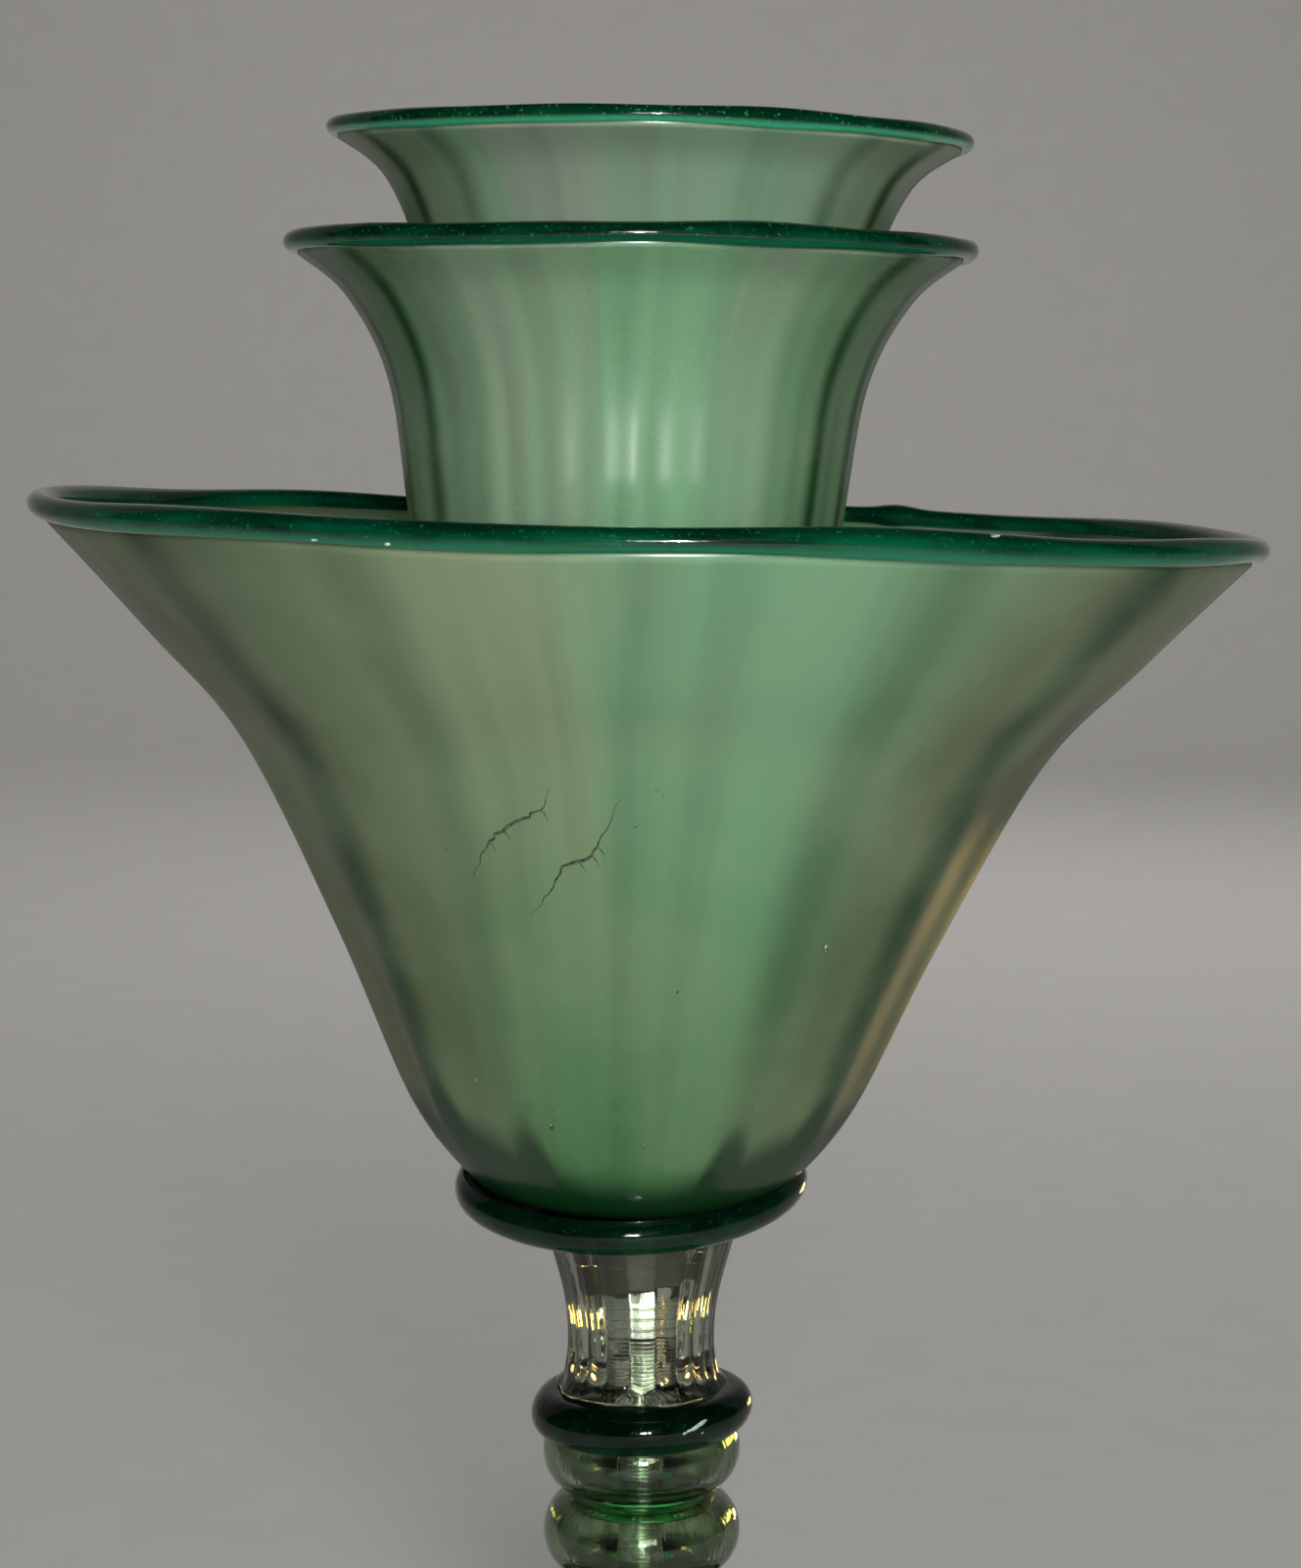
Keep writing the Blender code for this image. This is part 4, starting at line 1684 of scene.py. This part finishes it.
@dataclass(frozen=True)
class Lamp:
    """One light: a round panel, or a spot where it has a cone."""

    name: str
    place: tuple[float, float, float]
    size: float
    power: float
    colour: Colour
    glossy: bool = True  # shows in reflections
    diffuse: bool = True  # lights matt surfaces
    through: bool = True  # shows through glass
    target: tuple[float, float, float] = (0.0, 0.0, 0.22)
    cone: float = 0.0  # in degrees

    def hang(self) -> None:
        """Puts the light in its place, facing its target and out of the camera's sight."""
        light = bpy.data.lights.new(self.name, "SPOT" if self.cone > 0.0 else "AREA")
        if self.cone > 0.0:
            light.spot_size = math.radians(self.cone)
            light.spot_blend = 0.2
            light.shadow_soft_size = self.size / 2.0
        else:
            light.shape = "DISK"
            light.size = self.size
        light.energy = self.power
        light.color = self.colour
        made = standing(self.name, light)
        made.visible_glossy = self.glossy
        made.visible_diffuse = self.diffuse
        made.visible_transmission = self.through
        made.visible_camera = False
        made.location = self.place
        aim = Vector(self.target) - Vector(self.place)
        made.rotation_euler = aim.to_track_quat("-Z", "Y").to_euler()


WHITE: Colour = (1.0, 0.99, 0.97)
AMBER: Colour = (1.0, 0.60, 0.16)
LAMPS = (
    Lamp("front_softbox", (0.16, -1.00, 0.46), 0.40, 7.6, WHITE, glossy=False),
    Lamp("front_glint", (0.030, -0.80, 0.255), 0.036, 6.5, (1.0, 1.0, 1.0), diffuse=False),
    Lamp("stem_flash", (0.010, -0.85, 0.26), 0.16, 16.0, (0.97, 1.0, 1.0), False, False),
    Lamp("side_warm", (0.31, 0.46, 0.02), 0.09, 3.0, (1.0, 0.60, 0.14), target=(0.05, 0.0, 0.108), cone=18.0),
    Lamp("amber_glow", (-0.34, 0.60, 0.06), 0.12, 3.0, AMBER, False, False, True, (0.0, 0.0, 0.11), 8.0),
    Lamp("back_fill", (0.35, 1.50, 1.10), 1.00, 5.0, WHITE, glossy=False, through=False),
    Lamp("paper_light", (0.0, 1.70, 2.40), 1.4, 16.0, (1.0, 0.99, 0.98), False, True, False, (0.0, 3.0, 0.4)),
    Lamp("left_fill", (-1.1, -0.25, 0.7), 0.8, 1.2, (0.95, 0.98, 1.0), glossy=False),
)


@dataclass
class Studio:
    """A plain pale floor that sweeps up behind, soft light, and the camera."""

    camera_x: float = 0.0022
    camera_back: float = 0.78
    camera_high: float = 0.326
    pitch_down: float = 6.588
    lens: float = 79.9
    film: float = 36.0
    sweep_from: float = 2.2
    sweep_radius: float = 0.8
    paper_top: float = 4.0
    reach: float = 6.0
    room_light: float = 0.20

    def make_floor(self) -> Piece:
        """Lays the floor and its sweep.

        Returns:
            The floor.
        """
        line = [(-self.reach, 0.0), (self.sweep_from, 0.0)]
        for step in range(1, 25):
            angle, bend = math.radians(90.0 * step / 24), self.sweep_radius
            line.append((self.sweep_from + bend * math.sin(angle), bend * (1.0 - math.cos(angle))))
        line.append((self.sweep_from + self.sweep_radius, self.paper_top))
        points = [(x, y, z) for y, z in line for x in (-self.reach, self.reach)]
        faces = [(2 * i, 2 * i + 1, 2 * i + 3, 2 * i + 2) for i in range(len(line) - 1)]
        mesh = bpy.data.meshes.new("floor_sweep")
        mesh.from_pydata(points, [], faces)
        mesh.shade_smooth()
        floor = standing("floor_sweep", mesh)
        mix = Recipe("pale_paper")
        grain = mix.noise(mix.place, 40.0, 4.0)
        mix.dress(Base_Color=mix.mix(grain, tint(196, 194, 190), tint(202, 200, 197)))
        mix.dress(Roughness=0.9, Specular_IOR_Level=0.2)
        mesh.materials.append(mix.material)
        return floor

    def make_light(self) -> None:
        """Hangs the lights and sets the room's own soft light."""
        for lamp in LAMPS:
            lamp.hang()
        world = bpy.data.worlds.new("studio")
        bpy.context.scene.world = world
        world.use_nodes = True
        background = world.node_tree.nodes["Background"]
        background.inputs["Color"].default_value = (1.0, 0.99, 0.98, 1.0)
        background.inputs["Strength"].default_value = self.room_light
        world.cycles_visibility.glossy = False

    def make_camera(self) -> Piece:
        """Sets up the camera.

        Returns:
            The camera.
        """
        data = bpy.data.cameras.new("view")
        data.lens = self.lens
        data.sensor_width = self.film
        camera = standing("view", data)
        camera.location = (self.camera_x, -self.camera_back, self.camera_high)
        camera.rotation_euler = (math.radians(90.0 - self.pitch_down), 0.0, 0.0)
        bpy.context.scene.camera = camera
        bpy.context.scene.view_settings.view_transform = "Standard"
        return camera


def main() -> None:
    """Builds the centrepiece from the table up, then the room round it."""
    logging.basicConfig(level=logging.INFO, format="%(message)s")
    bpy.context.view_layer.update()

    bright = BareMetal("threaded_steel", tint(236, 242, 238), tint(176, 172, 160), 0.26).make()
    sleeve = BareMetal("sleeve_steel", tint(244, 250, 246), tint(214, 222, 216), 0.24).make()
    rubber = SoftRing("black_rubber", tint(34, 33, 26), tint(62, 60, 48), 0.62).make()
    packing = SoftRing("green_packing", tint(10, 176, 78), tint(34, 205, 104), 0.45, 0.10).make()

    foot = Foot()
    foot.make_dome()
    foot.make_thread()
    rod = TieRod()
    rod.make_rod(bright)
    rod.make_nut("base_nut", bright)
    rod.make_nut("bowl_nut", bright)
    rings = FlatRings()
    for node in ("base_washer", "bowl_washer"):
        rings.make(node, rod.washer, bright, Slot.STEEL)
    for node in ("base_gasket", "bowl_gasket"):
        rings.make(node, rod.washer, rubber, Slot.RUBBER, rings.squeeze)
    for number in range(1, 7):
        rings.make(f"seal_{number}", rings.packing, packing, Slot.PACKING, rings.squeeze)
    StemDisc("foot_collar", tilt=0.0003, tilt_at=200.0).make()
    Beads().make()
    waist_disc = StemDisc("waist_collar", tilt=0.0011, tilt_at=90.0)
    waist_disc.make()
    waist = Waist()
    waist.make_column()
    waist.make_bush(sleeve)
    waist.make_plug(rubber)
    BowlSaucer().make()

    bowl = bowl_of(low_green=tint(62, 120, 68))
    bowl.make_wall()
    bowl.make_thread("bowl_rim", 152.0)
    middle = middle_vase()
    middle.make_wall()
    middle.make_thread("middle_rim", 118.0)
    top = top_vase()
    top.make_wall()
    top.make_thread("top_rim", -140.0)

    wear = Wear(bowl)
    wear.make_cracks()
    wear.make_seeds()
    wear.make_chips()
    wear.make_disc_scar(waist_disc)

    studio = Studio()
    studio.make_floor()
    studio.make_light()
    studio.make_camera()
    LOG.info("%d pieces in all", BENCH.made)


if __name__ == "__main__":
    main()
